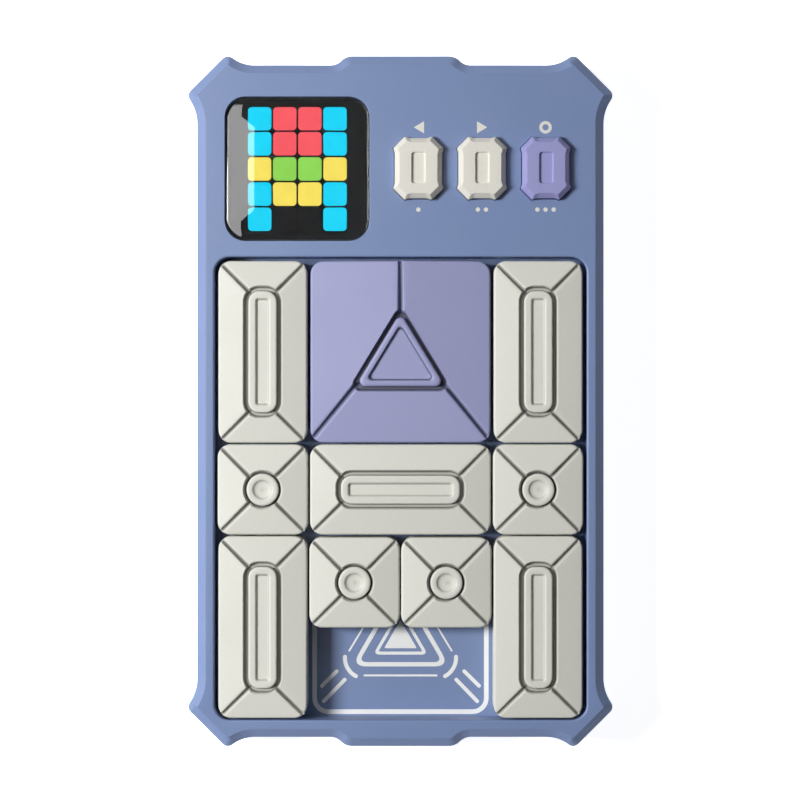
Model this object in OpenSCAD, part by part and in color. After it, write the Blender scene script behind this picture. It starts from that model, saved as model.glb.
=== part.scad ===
// Handheld electronic sliding-block puzzle.
// The set lies on its back: +X right, +Y to the display end, +Z out of the play face.
// The origin is on the resting plane, under the middle of the case. Millimetres.

/* [Case] */
// Width over the corner ears
case_w = 105; // [104:0.5:108]
// Length over the corner ears
case_l = 170.8; // [170:0.2:173]
// Height of the play face above the resting plane
face_z = 20; // [20:0.5:22]
// Height of the joint line between the two case halves
seam_z = 9; // [8.5:0.25:9]
// Width of the sloped band round the front edge
front_bevel = 2.2; // [1.5:0.1:2.4]
// Thickness of the flat case walls
wall = 2; // [1.8:0.1:2.2]

/* [Tray] */
// Width of the tray the tiles slide in
tray_w = 92; // [91.8:0.1:92.4]
// Length of the tray
tray_l = 114.3; // [114.1:0.1:114.6]
// Distance from the middle of the case to the middle of the tray
tray_y = -21.55; // [-21.8:0.05:-21.4]
// Depth of the tray floor below the play face
tray_depth = 7.5; // [7:0.25:7.5]

/* [Tiles] */
// Distance from one cell to the next
cell = 22.65; // [22.5:0.05:22.7]
// Corner radius of a tile
tile_r = 3.2; // [2.6:0.1:3.6]
// Steepness of the sloping facets on the small tiles, rise over run
facet_slope = 0.13; // [0.1:0.01:0.15]
// Steepness of the three facets on the large tile
king_slope = 0.08; // [0.06:0.01:0.09]
// Depth of the groove round each raised centre
groove_depth = 1.4; // [1:0.1:1.5]

/* [Buttons] */
// Width of a button
button_w = 12.4; // [12:0.1:12.8]
// Length of a button
button_l = 15.6; // [15:0.1:16]
// Travel of a button when it is pressed
button_travel = 0.8; // [0.5:0.1:0.8]
// Distance from one button to the next
button_pitch = 15.7; // [15.6:0.1:16]

/* [Display] */
// Width of the display opening
lens_w = 35.7; // [35:0.1:36]
// Length of the display opening
lens_l = 35.6; // [35:0.1:36]
// Distance from one lit cell to the next
window_pitch = 6.19; // [6.1:0.01:6.25]
// Width of one lit cell
window_w = 5.77; // [5.5:0.01:5.8]

/* [Hidden] */
$fn = 48;

// Colours
blue = [0.42, 0.47, 0.66];
cream = [0.86, 0.86, 0.82];
purple = [0.56, 0.56, 0.75];
black = [0.04, 0.04, 0.05];
steel = [0.75, 0.76, 0.78];
board_green = [0.10, 0.32, 0.20];
chip_black = [0.10, 0.10, 0.11];

// A cut runs this far past the face it opens
past = 1;

// Heights, from the resting plane up
foot_z = 1;                       // back face of the rear shell
floor_z = face_z - tray_depth;    // top of the tray floor
floor_t = 1.4;                    // thickness of the tray floor
floor_lip = 0.7;                  // the floor plate reaches this far behind the tray wall
under_face_z = face_z - wall;     // inside of the front face
board_t = 1.2;                    // thickness of both circuit boards
board_z = 14;                     // underside of the main board
board_top = board_z + board_t;
sensor_board_z = seam_z;          // underside of the sensor board
back_bevel = 1.2;

// Outline of the case: one quarter, from the middle tab round to the long side
side_x = case_w / 2 - 2.2;        // straight long side
end_y = case_l / 2 - 2.25;        // straight part of the short side
tab_x = 12;                       // half width of the middle tab
tab_end_x = 17.4;                 // where the tab has run out into the straight part
dip_x = 36;                       // where the short side starts to curve out to the ear
waist_y = 68.5;                   // where the long side starts to curve out to the ear
ear_cut = 9;                      // each leg of the triangle cut off the square corner
ear_r = 1.8;                      // rounding at both ends of the 45 degree edge

// Display and buttons
panel_y = 57.4;
lens_at = [-25.5, panel_y];
lens_size = [lens_w, lens_l];
lens_r = 5.1;
lens_gap = 0.6;                   // the lens is this much smaller than its opening
lens_flange = 1.2;
lens_rise = 1.2;                  // height of the lens crown above the play face
lens_sphere_r = 200;              // the crown is part of a sphere
grid_size = [33, 33];
grid_top = 18.6;
window_t = 0.8;
window_cols = 4;
window_rows = 5;
window_r = 0.95;
led_size = [1.8, 1.6, 0.6];

button_x0 = 4.4;
button_top = face_z + 2.6;
button_cut = 2.85;                // corner chamfer of the button outline
button_flare = [0.38, 1.1];       // how far each corner point stands out, and over what length
button_bevel = 1.2;
button_gap = 0.3;
button_wall = 1.4;
flange_t = 1.2;
flange_w = 1;
flange_gap = 0.1;
slot_size = [3.6, 7.8];
slot_depth = 0.6;
switch_size = [6, 6, 3.5];
plunger_r = 1.75;
plunger_gap = 0.05;
plunger_proud = button_travel + 0.2;

// Batteries and their bay
cell_r = 5.25;
cell_len = 44.5;
bay_x = 26.5;                     // inside half width
bay_y = [39.6, 73.2];             // inside ends
bay_wall = 1.2;
cell_z = foot_z + 1.6 + 0.3 + cell_r;
cell_ys = [for (i = [0:2]) bay_y[0] + 5.6 + i * 11.2];
bay_top = 13.6;
door_x = 28;
door_y = [38.4, 79.6];
door_t = 1.4;
door_gap = 0.3;
door_screw_at = [0, 77];

// Speaker
speaker_at = [37.4, 53.5];
speaker_r = 8.3;
speaker_z = foot_z + wall + 0.2;
speaker_h = 4.6;

// Fasteners
shank_r = 0.95;
clear_r = 1.25;
head_r = 1.9;
head_h = 1.4;
bore_r = 2.1;
post_r = 2.8;
top_screws = [for (s = [-1, 1], p = [[43.5, 77.3], [44.3, 41.8]]) [s * p[0], p[1]]];
low_screws = [[-41, -81.1], [0, -81.4], [41, -81.1]];
board_screw_at = [[-30, 78.4], [-3.6, 77], [30.4, 72.5], [30.4, 43.6]];
board_post_r = 2;
feet_at = [for (x = [-40, 40], y = [-68.5, 66.6]) [x, y]];
foot_r = 4.6;
foot_sink = 0.6;
sensor_posts = [for (x = [-30, 30], y = [-62, -21, 20]) [x, y]];

// Tiles
array_y = -21.8;                  // middle of the five rows
tile_z = floor_z + 0.15;          // underside of a tile
rim_z = face_z + 0.3;             // height of a tile at its rim
tile_wall = 1.5;
base_t = 1.4;
magnet_r = 3;
magnet_h = 2;
magnet_sink = 1;
small_size = [22.3, 22.3];
tall_size = [21.95, 44.9];
bar_size = [44.6, 22.3];
king_size = [44.4, 44.8];
raised_w = 7;                     // width of the raised pill
groove_w = 1.4;                   // width of the groove round it, at the top
raised_r = 2.7;                   // corner radius of the raised pill
slot_w = 3.7;                     // width of the sunk slot in the pill
slot_r = 0.9;
slot_sink = 0.6;
loose_shift = [0, -0.3];          // the two tiles beside the exit lie this far down their cells
disc_r = 4.05;                    // raised disc of a small tile
dimple_r = 2.85;
dimple_depth = 0.5;
king_rise = 1.3;                  // the raised triangle above the rim

// Points of an arc; skip = 1 leaves out the first, where an arc goes on from another
function arc(c, r, a0, a1, n, skip = 0) =
    [for (i = [skip:n]) c + r * [cos(a0 + (a1 - a0) * i / n), sin(a0 + (a1 - a0) * i / n)]];

function mirror_x(ps) = [for (i = [len(ps) - 1:-1:0]) [-ps[i][0], ps[i][1]]];
function mirror_y(ps) = [for (i = [len(ps) - 1:-1:0]) [ps[i][0], -ps[i][1]]];
function unit(v) = v / norm(v);

// The arc that rounds corner p between its neighbours a and b
function round_corner(a, p, b, r, n) =
    let (
        u = unit(a - p),
        v = unit(b - p),
        half = acos(u * v) / 2,
        c = p + unit(u + v) * r / sin(half),
        s = p + u * r / tan(half) - c,
        e = p + v * r / tan(half) - c,
        a0 = atan2(s[1], s[0]),
        turn = atan2(s[0] * e[1] - s[1] * e[0], s * e)
    )
    arc(c, r, a0, a0 + turn, n);

// A polygon with every corner rounded
function rounded(ps, r, n = 8) =
    [for (i = [0:len(ps) - 1])
        each round_corner(ps[(i + len(ps) - 1) % len(ps)], ps[i], ps[(i + 1) % len(ps)], r, n)];

// Radius of the hollow arc that leaves a straight edge at distance a and meets the ear,
// where b is how far the ear's own centre stands outside that edge
function hollow_r(a, b) = (a * a + b * b - ear_r * ear_r) / (2 * (ear_r - b));

// One quarter of the outline, clockwise from the middle of the short side
function quarter_outline() =
    let (
        edge = case_w / 2 + case_l / 2 - ear_cut,
        // S-shaped run from the middle tab down to the straight part
        dx = tab_end_x - tab_x,
        dy = case_l / 2 - end_y,
        sweep = 2 * atan(dy / dx),
        s_r = dx / (2 * sin(sweep)),
        // centres of the two rounded ends of the ear
        sum = edge - ear_r * sqrt(2),
        top_c = [sum - case_l / 2 + ear_r, case_l / 2 - ear_r],
        side_c = [case_w / 2 - ear_r, sum - case_w / 2 + ear_r],
        top_hollow = hollow_r(top_c[0] - dip_x, end_y - top_c[1]),
        side_hollow = hollow_r(side_c[1] - waist_y, side_x - side_c[0]),
        top_h = [dip_x, end_y + top_hollow],
        side_h = [side_x + side_hollow, waist_y],
        top_a = atan2(top_c[1] - top_h[1], top_c[0] - top_h[0]),
        side_a = atan2(side_c[1] - side_h[1], side_c[0] - side_h[0])
    )
    concat(
        arc([tab_x, case_l / 2 - s_r], s_r, 90, 90 - sweep, 5),
        arc([tab_end_x, end_y + s_r], s_r, 270 - sweep, 270, 5, 1),
        arc(top_h, top_hollow, -90, top_a, 6),
        arc(top_c, ear_r, top_a + 180, 45, 6, 1),
        arc(side_c, ear_r, 45, side_a - 180, 6),
        arc(side_h, side_hollow, side_a, 180, 6, 1)
    );

module case_outline() {
    q = quarter_outline();
    right = concat(q, mirror_y(q));
    polygon(concat(right, mirror_x(right)));
}

module rounded_rect(size, r) {
    square([size[0] - 2 * r, size[1]], center = true);
    square([size[0], size[1] - 2 * r], center = true);
    for (x = [-1, 1], y = [-1, 1])
        translate([x * (size[0] / 2 - r), y * (size[1] / 2 - r)])
            circle(r);
}

// A rounded plate from z0 up to z1
module slab(size, r, z0, z1) {
    translate([0, 0, z0])
        linear_extrude(z1 - z0)
            rounded_rect(size, r);
}

module box(x, y, z) {
    translate([x[0], y[0], z[0]])
        cube([x[1] - x[0], y[1] - y[0], z[1] - z[0]]);
}

module rod(at, r, z0, z1) {
    translate([at[0], at[1], z0])
        cylinder(r = r, h = z1 - z0);
}

module rods(places, r, z0, z1) {
    for (at = places)
        rod(at, r, z0, z1);
}

function button_at(i) = [button_x0 + i * button_pitch, panel_y];

// One quarter of a button's outline, grown by g: a cut corner that ends in two small points
function button_quarter(g) =
    let (
        w = button_w / 2 + g,
        l = button_l / 2 + g,
        side = l - button_cut,
        end = w - button_cut
    )
    [
        [w - button_flare[0], side - button_flare[1]], [w, side],
        [end, l], [end - button_flare[1], l - button_flare[0]]
    ];

module button_outline(g) {
    top = concat(button_quarter(g), mirror_x(button_quarter(g)));
    bottom = [for (i = [len(top) - 1:-1:0]) [top[i][0], -top[i][1]]];
    polygon(concat(top, bottom));
}

// ---- Case ----

// The case outline as a solid whose upper edge slopes in by the bevel width
module bevelled_case(z0, z1, bevel, rise) {
    translate([0, 0, z0])
        linear_extrude(z1 - z0 - rise)
            case_outline();
    translate([0, 0, z1 - rise])
        linear_extrude(rise, scale = [1 - 2 * bevel / case_w, 1 - 2 * bevel / case_l],
                       slices = 1)
            case_outline();
}

// Room behind the front face for the display, the boards and the batteries
module panel_room(z0, z1) {
    translate([0, 59.3, 0])
        slab([2 * (side_x - 2.5), 43], 8, z0, z1);
}

module front_housing() {
    color(blue)
    difference() {
        union() {
            difference() {
                bevelled_case(seam_z, face_z, front_bevel, 1.7);
                panel_room(seam_z - past, under_face_z);
            }
            rods(top_screws, post_r, seam_z, under_face_z + 0.1);
            rods(board_screw_at, board_post_r, board_top, under_face_z + 0.1);
        }
        // the tray, and the step behind it that the floor plate sits in
        translate([0, tray_y, 0]) {
            slab([tray_w, tray_l], 3.8, seam_z - past, face_z + past);
            slab([tray_w + 2 * floor_lip, tray_l + 2 * floor_lip], 3.8 + floor_lip,
                 seam_z - past, floor_z);
        }
        // the display opening
        translate(lens_at)
            slab(lens_size, lens_r, under_face_z - past, face_z + past);
        // one opening for each button
        for (i = [0:2])
            translate([button_at(i)[0], button_at(i)[1], under_face_z - past])
                linear_extrude(wall + 2 * past)
                    button_outline(button_gap);
        // screw holes, all blind
        rods(top_screws, shank_r, seam_z - past, 16);
        rods(low_screws, shank_r, seam_z - past, 16);
        rods(board_screw_at, shank_r, board_top - past, 17.2);
    }
}

module rear_housing() {
    color(blue)
    difference() {
        union() {
            difference() {
                // the bevel is at the back, so the solid is made upside down
                translate([0, 0, seam_z])
                    mirror([0, 0, 1])
                        bevelled_case(0, seam_z - foot_z, back_bevel, 1.2);
                slab([2 * (side_x - 2.5), 161], 8, foot_z + wall, seam_z + past);
            }
            // posts for the case screws and under the sensor board
            rods(top_screws, post_r, foot_z + wall - 0.1, seam_z);
            rods(sensor_posts, 2.5, foot_z + wall - 0.1, sensor_board_z);
            // battery bay walls
            difference() {
                box([-bay_x - bay_wall, bay_x + bay_wall],
                    [bay_y[0] - bay_wall, bay_y[1] + bay_wall],
                    [foot_z + wall - 0.1, bay_top]);
                box([-bay_x, bay_x], bay_y, [foot_z, bay_top + past]);
            }
            // post for the door screw
            rod(door_screw_at, 3, foot_z + wall - 0.1, seam_z);
            // ring that holds the speaker
            difference() {
                rod(speaker_at, speaker_r + 1.2, foot_z + wall - 0.1, 7);
                rod(speaker_at, speaker_r, foot_z + wall, 7 + past);
            }
        }
        // recess for the door and the opening above it
        translate([0, (door_y[0] + door_y[1]) / 2, 0])
            slab([2 * door_x, door_y[1] - door_y[0]], 2, foot_z - past, foot_z + 1.6);
        box([-bay_x, bay_x], bay_y, [foot_z, foot_z + wall + past]);
        rod(door_screw_at, shank_r, foot_z, 7.5);
        // case screws: clearance hole and sunk head
        rods(concat(top_screws, low_screws), clear_r, foot_z - past, seam_z + past);
        rods(concat(top_screws, low_screws), bore_r, foot_z - past, foot_z + 2.8);
        // seats for the rubber feet
        rods(feet_at, foot_r, foot_z - past, foot_z + foot_sink);
        // speaker holes: one in the middle and two rings
        rod(speaker_at, 0.8, foot_z - past, foot_z + wall + past);
        for (ring = [1, 2], i = [0:6 * ring - 1])
            rod(speaker_at + ring * 2.7 * [cos(60 * i / ring), sin(60 * i / ring)], 0.8,
                foot_z - past, foot_z + wall + past);
    }
}

module tray_floor() {
    color(blue)
    translate([0, tray_y, 0])
        slab([tray_w + 2 * floor_lip, tray_l + 2 * floor_lip], 3.8 + floor_lip,
             floor_z - floor_t, floor_z);
}

// ---- Display ----

function window_at(c, r) = [
    lens_at[0] + (c - (window_cols - 1) / 2) * window_pitch,
    lens_at[1] - (r - (window_rows - 1) / 2) * window_pitch
];

module display_lens() {
    color(black)
    intersection() {
        translate(lens_at)
            difference() {
                union() {
                    slab(lens_size - [lens_gap, lens_gap], lens_r - lens_gap / 2,
                         under_face_z - 1, face_z + lens_rise);
                    difference() {
                        slab(lens_size + 2 * [lens_flange, lens_flange], lens_r + lens_flange,
                             under_face_z - 1, under_face_z);
                        // cut back round the screw posts
                        for (at = top_screws)
                            rod(at - lens_at, post_r + 0.2, under_face_z - 1 - past,
                                under_face_z + past);
                    }
                }
                slab(grid_size + [0.6, 0.6], 3, under_face_z - 1 - past, grid_top + 0.1);
            }
        translate([lens_at[0], lens_at[1], face_z + lens_rise - lens_sphere_r])
            sphere(lens_sphere_r, $fn = 480);
    }
}

module display_grid() {
    color(black)
    difference() {
        translate(lens_at)
            slab(grid_size, 2.6, board_top, grid_top);
        for (c = [0:window_cols - 1], r = [0:window_rows - 1])
            translate(window_at(c, r)) {
                slab([window_w, window_w], window_r, grid_top - window_t, grid_top + past);
                slab([window_w - 0.8, window_w - 0.8], 0.6, board_top - past, grid_top);
            }
    }
}

// Lit colour of each cell, row by row from the top
cyan = [0.0, 0.85, 1.0];
red = [1.0, 0.30, 0.35];
yellow = [1.0, 0.88, 0.32];
green = [0.50, 0.85, 0.30];
off = [0.08, 0.08, 0.09];
pattern = [
    [cyan, red, red, cyan],
    [cyan, red, red, cyan],
    [yellow, green, green, yellow],
    [cyan, yellow, yellow, cyan],
    [cyan, off, off, cyan]
];

module display_windows() {
    for (c = [0:window_cols - 1], r = [0:window_rows - 1])
        color(pattern[r][c])
        translate(window_at(c, r))
            slab([window_w, window_w], window_r, grid_top - window_t, grid_top);
}

module display_leds() {
    color(cream)
    for (c = [0:window_cols - 1], r = [0:window_rows - 1])
        translate([window_at(c, r)[0], window_at(c, r)[1], board_top + led_size[2] / 2])
            cube(led_size, center = true);
}

// ---- Electronics ----

module main_board() {
    color(board_green)
    difference() {
        translate([0, 59.8, 0])
            slab([93, 39.4], 3, board_z, board_top);
        rods(top_screws, post_r + 0.4, board_z - past, board_top + past);
        rods(board_screw_at, clear_r, board_z - past, board_top + past);
    }
}

// Processor, driver chip and two capacitors under the free ends of the board
module main_board_parts() {
    color(chip_black) {
        box([-43, -32], [58, 69], [board_z - 1.6, board_z]);
        box([-42, -35], [47, 53], [board_z - 1.4, board_z]);
        rod([34, 66], 2.5, board_z - 5, board_z);
        rod([41, 66], 2, board_z - 4.5, board_z);
    }
}

module tact_switches() {
    color(chip_black)
    for (i = [0:2])
        difference() {
            translate([button_at(i)[0], panel_y, board_top + switch_size[2] / 2])
                cube(switch_size, center = true);
            rod(button_at(i), plunger_r + plunger_gap, board_top + 1,
                board_top + switch_size[2] + past);
        }
}

module plunger(i) {
    top = board_top + switch_size[2] + plunger_proud;
    color("white")
        rod(button_at(i), plunger_r, top - 2.5, top);
}

module plunger_left() plunger(0);
module plunger_middle() plunger(1);
module plunger_right() plunger(2);

module sensor_board() {
    color(board_green)
    translate([0, tray_y, 0])
        slab([90, 110], 3, sensor_board_z, sensor_board_z + board_t);
}

function cell_at(c, r) = [(c - 1.5) * cell, array_y + (2 - r) * cell];

// One magnetic sensor under the middle of each cell
module hall_sensors() {
    color(chip_black)
    for (c = [0:3], r = [0:4])
        translate([cell_at(c, r)[0], cell_at(c, r)[1], sensor_board_z + board_t + 0.4])
            cube([3, 2.6, 0.8], center = true);
}

// Flat cable from the main board, under the rib, to the sensor board
module ribbon_cable() {
    x = [-40, -30];
    t = 0.3;
    low = 6.5;
    color("gray") {
        box(x, [40.5, 40.5 + t], [low, board_z]);
        box(x, [29, 40.5], [low, low + t]);
        box(x, [29, 29 + t], [low + t, sensor_board_z]);
    }
}

module speaker() {
    color(chip_black)
    difference() {
        union() {
            rod(speaker_at, speaker_r, speaker_z, speaker_z + 2.2);
            rod(speaker_at, 5, speaker_z + 2.1, speaker_z + speaker_h);
        }
        // the cone, open towards the back of the set
        translate([speaker_at[0], speaker_at[1], speaker_z - 0.01])
            cylinder(r1 = 7, r2 = 3, h = 1.6);
    }
}

// ---- Batteries ----

function battery_turn(i) = i % 2 == 0 ? 1 : -1;

// One cell lying along X, with its raised end on alternate sides
module battery(i) {
    s = battery_turn(i);
    nub = 1;
    color([0.75, 0.55, 0.15])
    translate([0, cell_ys[i], cell_z])
        rotate([0, 90 * s, 0]) {
            translate([0, 0, -cell_len / 2])
                cylinder(r = cell_r, h = cell_len - nub);
            translate([0, 0, cell_len / 2 - nub])
                cylinder(r = 1.9, h = nub);
        }
}

module battery_1() battery(0);
module battery_2() battery(1);
module battery_3() battery(2);

// A flat plate against each raised end, and a coil spring at each flat end
module battery_terminals() {
    plate_t = 0.4;
    wire_r = 0.3;
    spring_r = 3;
    turns = 4;
    room = bay_x - plate_t - cell_len / 2;
    color(steel)
    for (i = [0:2]) {
        s = battery_turn(i);
        for (side = [-1, 1])
            translate([side * (bay_x - plate_t / 2), cell_ys[i], cell_z])
                cube([plate_t, 8, 8], center = true);
        // spring: round turns on a thin web, filling the room at the flat end
        translate([-s * (bay_x - plate_t), cell_ys[i], cell_z])
            rotate([0, 90 * s, 0])
                rotate_extrude() {
                    translate([spring_r - 0.1, 0])
                        square([0.2, room]);
                    for (k = [0:turns - 1])
                        translate([spring_r, wire_r + k * (room - 2 * wire_r) / (turns - 1)])
                            circle(wire_r, $fn = 16);
                }
        // a stud carries the raised end
        translate([s * (cell_len / 2 + room / 2), cell_ys[i], cell_z])
            cube([room, 3, 3], center = true);
    }
}

module battery_door() {
    w = 2 * (door_x - door_gap);
    l = door_y[1] - door_y[0] - 2 * door_gap;
    color(blue)
    difference() {
        translate([0, (door_y[0] + door_y[1]) / 2, 0])
            slab([w, l], 2 - door_gap, foot_z, foot_z + door_t);
        rod(door_screw_at, clear_r, foot_z - past, foot_z + door_t + past);
        rod(door_screw_at, bore_r, foot_z - past, foot_z + 0.9);
        // three finger ribs, cut as grooves
        for (i = [0:2])
            box([-9, 9], [44 + 3 * i, 45.2 + 3 * i], [foot_z - past, foot_z + 0.5]);
    }
}

// A pan head with a cross recess, its shank pointing up from z
module screw(at, z, length) {
    difference() {
        union() {
            rod(at, head_r, z, z + head_h);
            rod(at, shank_r, z + head_h, z + head_h + length);
        }
        for (turn = [0, 90])
            translate([at[0], at[1], z])
                rotate(turn)
                    cube([2.4, 0.5, 1.2], center = true);
    }
}

module battery_door_screw() {
    color(steel)
    difference() {
        union() {
            rod(door_screw_at, head_r, foot_z + 0.1, foot_z + 0.9);
            rod(door_screw_at, shank_r - 0.05, foot_z + 0.9, 6.5);
        }
        for (turn = [0, 90])
            translate([door_screw_at[0], door_screw_at[1], foot_z + 0.1])
                rotate(turn)
                    cube([2.4, 0.5, 0.8], center = true);
    }
}

module housing_screws() {
    color(steel)
    for (at = concat(top_screws, low_screws))
        screw(at, foot_z + 2.8 - head_h, 10);
}

module board_screws() {
    color(steel)
    for (at = board_screw_at)
        screw(at, board_z - head_h, 2.8);
}

module rubber_feet() {
    color(black)
    rods(feet_at, foot_r, 0, foot_z + foot_sink);
}

// ---- Buttons ----

module button(i) {
    skirt_z = under_face_z - flange_gap - flange_t;
    difference() {
        union() {
            translate([button_at(i)[0], panel_y, 0]) {
                // skirt, then the sloped rim of the top
                translate([0, 0, skirt_z])
                    linear_extrude(button_top - button_bevel - skirt_z)
                        button_outline(0);
                translate([0, 0, button_top - button_bevel])
                    linear_extrude(button_bevel, slices = 1,
                                   scale = [1 - 2 * button_bevel / button_w,
                                            1 - 2 * button_bevel / button_l])
                        button_outline(0);
                slab([button_w - 1 + 2 * flange_w, button_l - 1 + 2 * flange_w], 1,
                     skirt_z, skirt_z + flange_t);
            }
        }
        // hollow underside, up to the roof of the button
        translate([button_at(i)[0], panel_y, 0])
            slab([button_w - 2 * button_wall, button_l - 2 * button_wall], 2,
                 skirt_z - past, button_top - 2.2);
        translate([button_at(i)[0], panel_y, 0])
            slab(slot_size, 0.8, button_top - slot_depth, button_top + past);
    }
    // stem that presses the switch
    rod(button_at(i), 2.2, board_top + switch_size[2] + plunger_proud, button_top - 2.1);
}

module button_left() color(cream) button(0);
module button_middle() color(cream) button(1);
module button_right() color(purple) button(2);

// ---- Tiles ----

// Everything above a plane that rises from one side of a tile; turn is the side's direction
module facet_cut(reach, slope, turn) {
    span = 80;
    rotate(turn)
        translate([reach, 0, rim_z])
            rotate([0, atan(slope), 0])
                translate([-span + 5, -span / 2, 0])
                    cube([span, span, 10]);
}

// A V-shaped cut with a level bottom edge, from point a to point b
module groove_cut(a, b, w, z) {
    run = b - a;
    translate([a[0], a[1], z])
        rotate([90, 0, atan2(run[1], run[0]) - 90])
            mirror([0, 0, 1])
                linear_extrude(norm(run))
                    polygon([[0, 0], [w, 2], [-w, 2]]);
}

// Walls, hollow underside and sloping top of a cap; slopes is one value per side
module cap_blank(size, top, slope, turns) {
    difference() {
        slab(size, tile_r, tile_z, top);
        slab(size - 2 * [tile_wall, tile_wall], tile_r - tile_wall, tile_z - past, rim_z - 1.6);
        for (turn = turns)
            facet_cut((turn % 180 == 0 ? size[0] : size[1]) / 2, slope, turn);
    }
}

// Cap with a raised pill, or a raised disc when the pill has no straight part
module pill_cap(size) {
    w = min(size[0], size[1]);
    long = max(size[0], size[1]);
    top = rim_z + facet_slope * (w / 2 - raised_w / 2);
    straight = long - w;
    disc = straight < 1;
    r = disc ? disc_r : raised_w / 2;
    corner = disc ? r - 0.01 : raised_r;
    groove = disc ? 0.85 : groove_w;
    pill = disc ? [2 * r, 2 * r] : [2 * r, 2 * r + straight];
    upright = size[1] >= size[0];
    face = upright ? size : [size[1], size[0]];
    rotate(upright ? 0 : 90) {
        difference() {
            cap_blank(face, top, facet_slope, [0, 90, 180, 270]);
            slab(pill + 2 * [groove, groove], corner + groove, top - groove_depth, top + past);
            // grooves from the pill to the four corners
            for (x = [-1, 1], y = [-1, 1])
                groove_cut([x * (r * 0.7), y * (straight / 2 + r * 0.7)],
                           [x * (w / 2 - 1.3), y * (long / 2 - 1.3)], 0.95, rim_z - 0.5);
        }
        difference() {
            slab(pill, corner, top - groove_depth - 0.1, top);
            if (disc)
                translate([0, 0, top + dimple_ball() - dimple_depth])
                    sphere(dimple_ball());
            else
                slab([slot_w, pill[1] - (pill[0] - slot_w)], slot_r, top - slot_sink, top + past);
        }
    }
}

// Radius of the ball that leaves the dimple
function dimple_ball() = (dimple_r * dimple_r + dimple_depth * dimple_depth) / (2 * dimple_depth);

// Triangle pointing to +Y: height of its tip, height of its base, half width of the base
module triangle(tip, base, half, r) {
    polygon(rounded([[0, tip], [half, base], [-half, base]], r));
}

module king_cap() {
    top = rim_z + king_slope * king_size[0] / 2;
    flat = rim_z + king_rise;
    difference() {
        cap_blank(king_size, top, king_slope, [0, 180, 270]);
        translate([0, 0, flat - groove_depth])
            linear_extrude(3)
                triangle(11.4, -9.6, 12.75, 1.9);
        groove_cut([0, 9], [0, king_size[1] / 2 - 0.8], 1.3, top - 1.1);
        for (s = [-1, 1])
            groove_cut([s * 10.6, -8.9], [s * 21, -20.3], 1, rim_z - 0.5);
    }
    difference() {
        translate([0, 0, flat - groove_depth - 0.1])
            linear_extrude(groove_depth + 0.1)
                triangle(9.7, -8.5, 11.1, 1.4);
        translate([0, 0, flat - 0.45])
            linear_extrude(3)
                triangle(7, -7.1, 8.6, 0.9);
    }
}

// Plate that closes the underside; magnets lists the middle of each magnet
module tile_base(size, magnets) {
    color([0.30, 0.31, 0.34])
    difference() {
        slab(size - 2 * [tile_wall, tile_wall], tile_r - tile_wall, tile_z, tile_z + base_t);
        rods(magnets, magnet_r, tile_z + base_t - magnet_sink, tile_z + base_t + past);
    }
}

module tile_magnets(magnets) {
    color(steel)
    rods(magnets, magnet_r, tile_z + base_t - magnet_sink,
         tile_z + base_t - magnet_sink + magnet_h);
}

// A magnet under the middle of each cell that the tile covers
small_magnets = [[0, 0]];
tall_magnets = [for (y = [-1, 1]) [0, y * cell / 2]];
bar_magnets = [for (x = [-1, 1]) [x * cell / 2, 0]];
king_magnets = [for (x = [-1, 1], y = [-1, 1]) [x, y] * cell / 2];

// Middle of each tile at the start of the game, from its top left cell
function block_at(c, r, w, l) = cell_at(c + (w - 1) / 2, r + (l - 1) / 2);
king_at = block_at(1, 0, 2, 2);
bar_at = block_at(1, 2, 2, 1);
tall_at = [block_at(0, 0, 1, 2), block_at(3, 0, 1, 2), block_at(0, 3, 1, 2), block_at(3, 3, 1, 2)];
small_at = [block_at(0, 2, 1, 1), block_at(1, 3, 1, 1) + loose_shift,
            block_at(2, 3, 1, 1) + loose_shift, block_at(3, 2, 1, 1)];

module king_tile_cap() translate(king_at) color(purple) king_cap();
module king_tile_base() translate(king_at) tile_base(king_size, king_magnets);
module king_tile_magnets() translate(king_at) tile_magnets(king_magnets);
module bar_tile_cap() translate(bar_at) color(cream) pill_cap(bar_size);
module bar_tile_base() translate(bar_at) tile_base(bar_size, bar_magnets);
module bar_tile_magnets() translate(bar_at) tile_magnets(bar_magnets);
module tall_tile_cap(i) translate(tall_at[i - 1]) color(cream) pill_cap(tall_size);
module tall_tile_base(i) translate(tall_at[i - 1]) tile_base(tall_size, tall_magnets);
module tall_tile_magnets(i) translate(tall_at[i - 1]) tile_magnets(tall_magnets);
module small_tile_cap(i) translate(small_at[i - 1]) color(cream) pill_cap(small_size);
module small_tile_base(i) translate(small_at[i - 1]) tile_base(small_size, small_magnets);
module small_tile_magnet(i) translate(small_at[i - 1]) tile_magnets(small_magnets);

front_housing();
rear_housing();
tray_floor();
display_lens();
display_grid();
display_windows();
display_leds();
main_board();
main_board_parts();
tact_switches();
sensor_board();
hall_sensors();
ribbon_cable();
speaker();
battery_terminals();
battery_1();
battery_2();
battery_3();
battery_door();
battery_door_screw();
housing_screws();
board_screws();
rubber_feet();
button_left();
button_middle();
button_right();
plunger_left();
plunger_middle();
plunger_right();
king_tile_cap();
king_tile_base();
king_tile_magnets();
bar_tile_cap();
bar_tile_base();
bar_tile_magnets();
tall_tile_cap(1);  // tall_tile_1_cap
tall_tile_base(1);  // tall_tile_1_base
tall_tile_magnets(1);  // tall_tile_1_magnets
tall_tile_cap(2);  // tall_tile_2_cap
tall_tile_base(2);  // tall_tile_2_base
tall_tile_magnets(2);  // tall_tile_2_magnets
tall_tile_cap(3);  // tall_tile_3_cap
tall_tile_base(3);  // tall_tile_3_base
tall_tile_magnets(3);  // tall_tile_3_magnets
tall_tile_cap(4);  // tall_tile_4_cap
tall_tile_base(4);  // tall_tile_4_base
tall_tile_magnets(4);  // tall_tile_4_magnets
small_tile_cap(1);  // small_tile_1_cap
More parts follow.
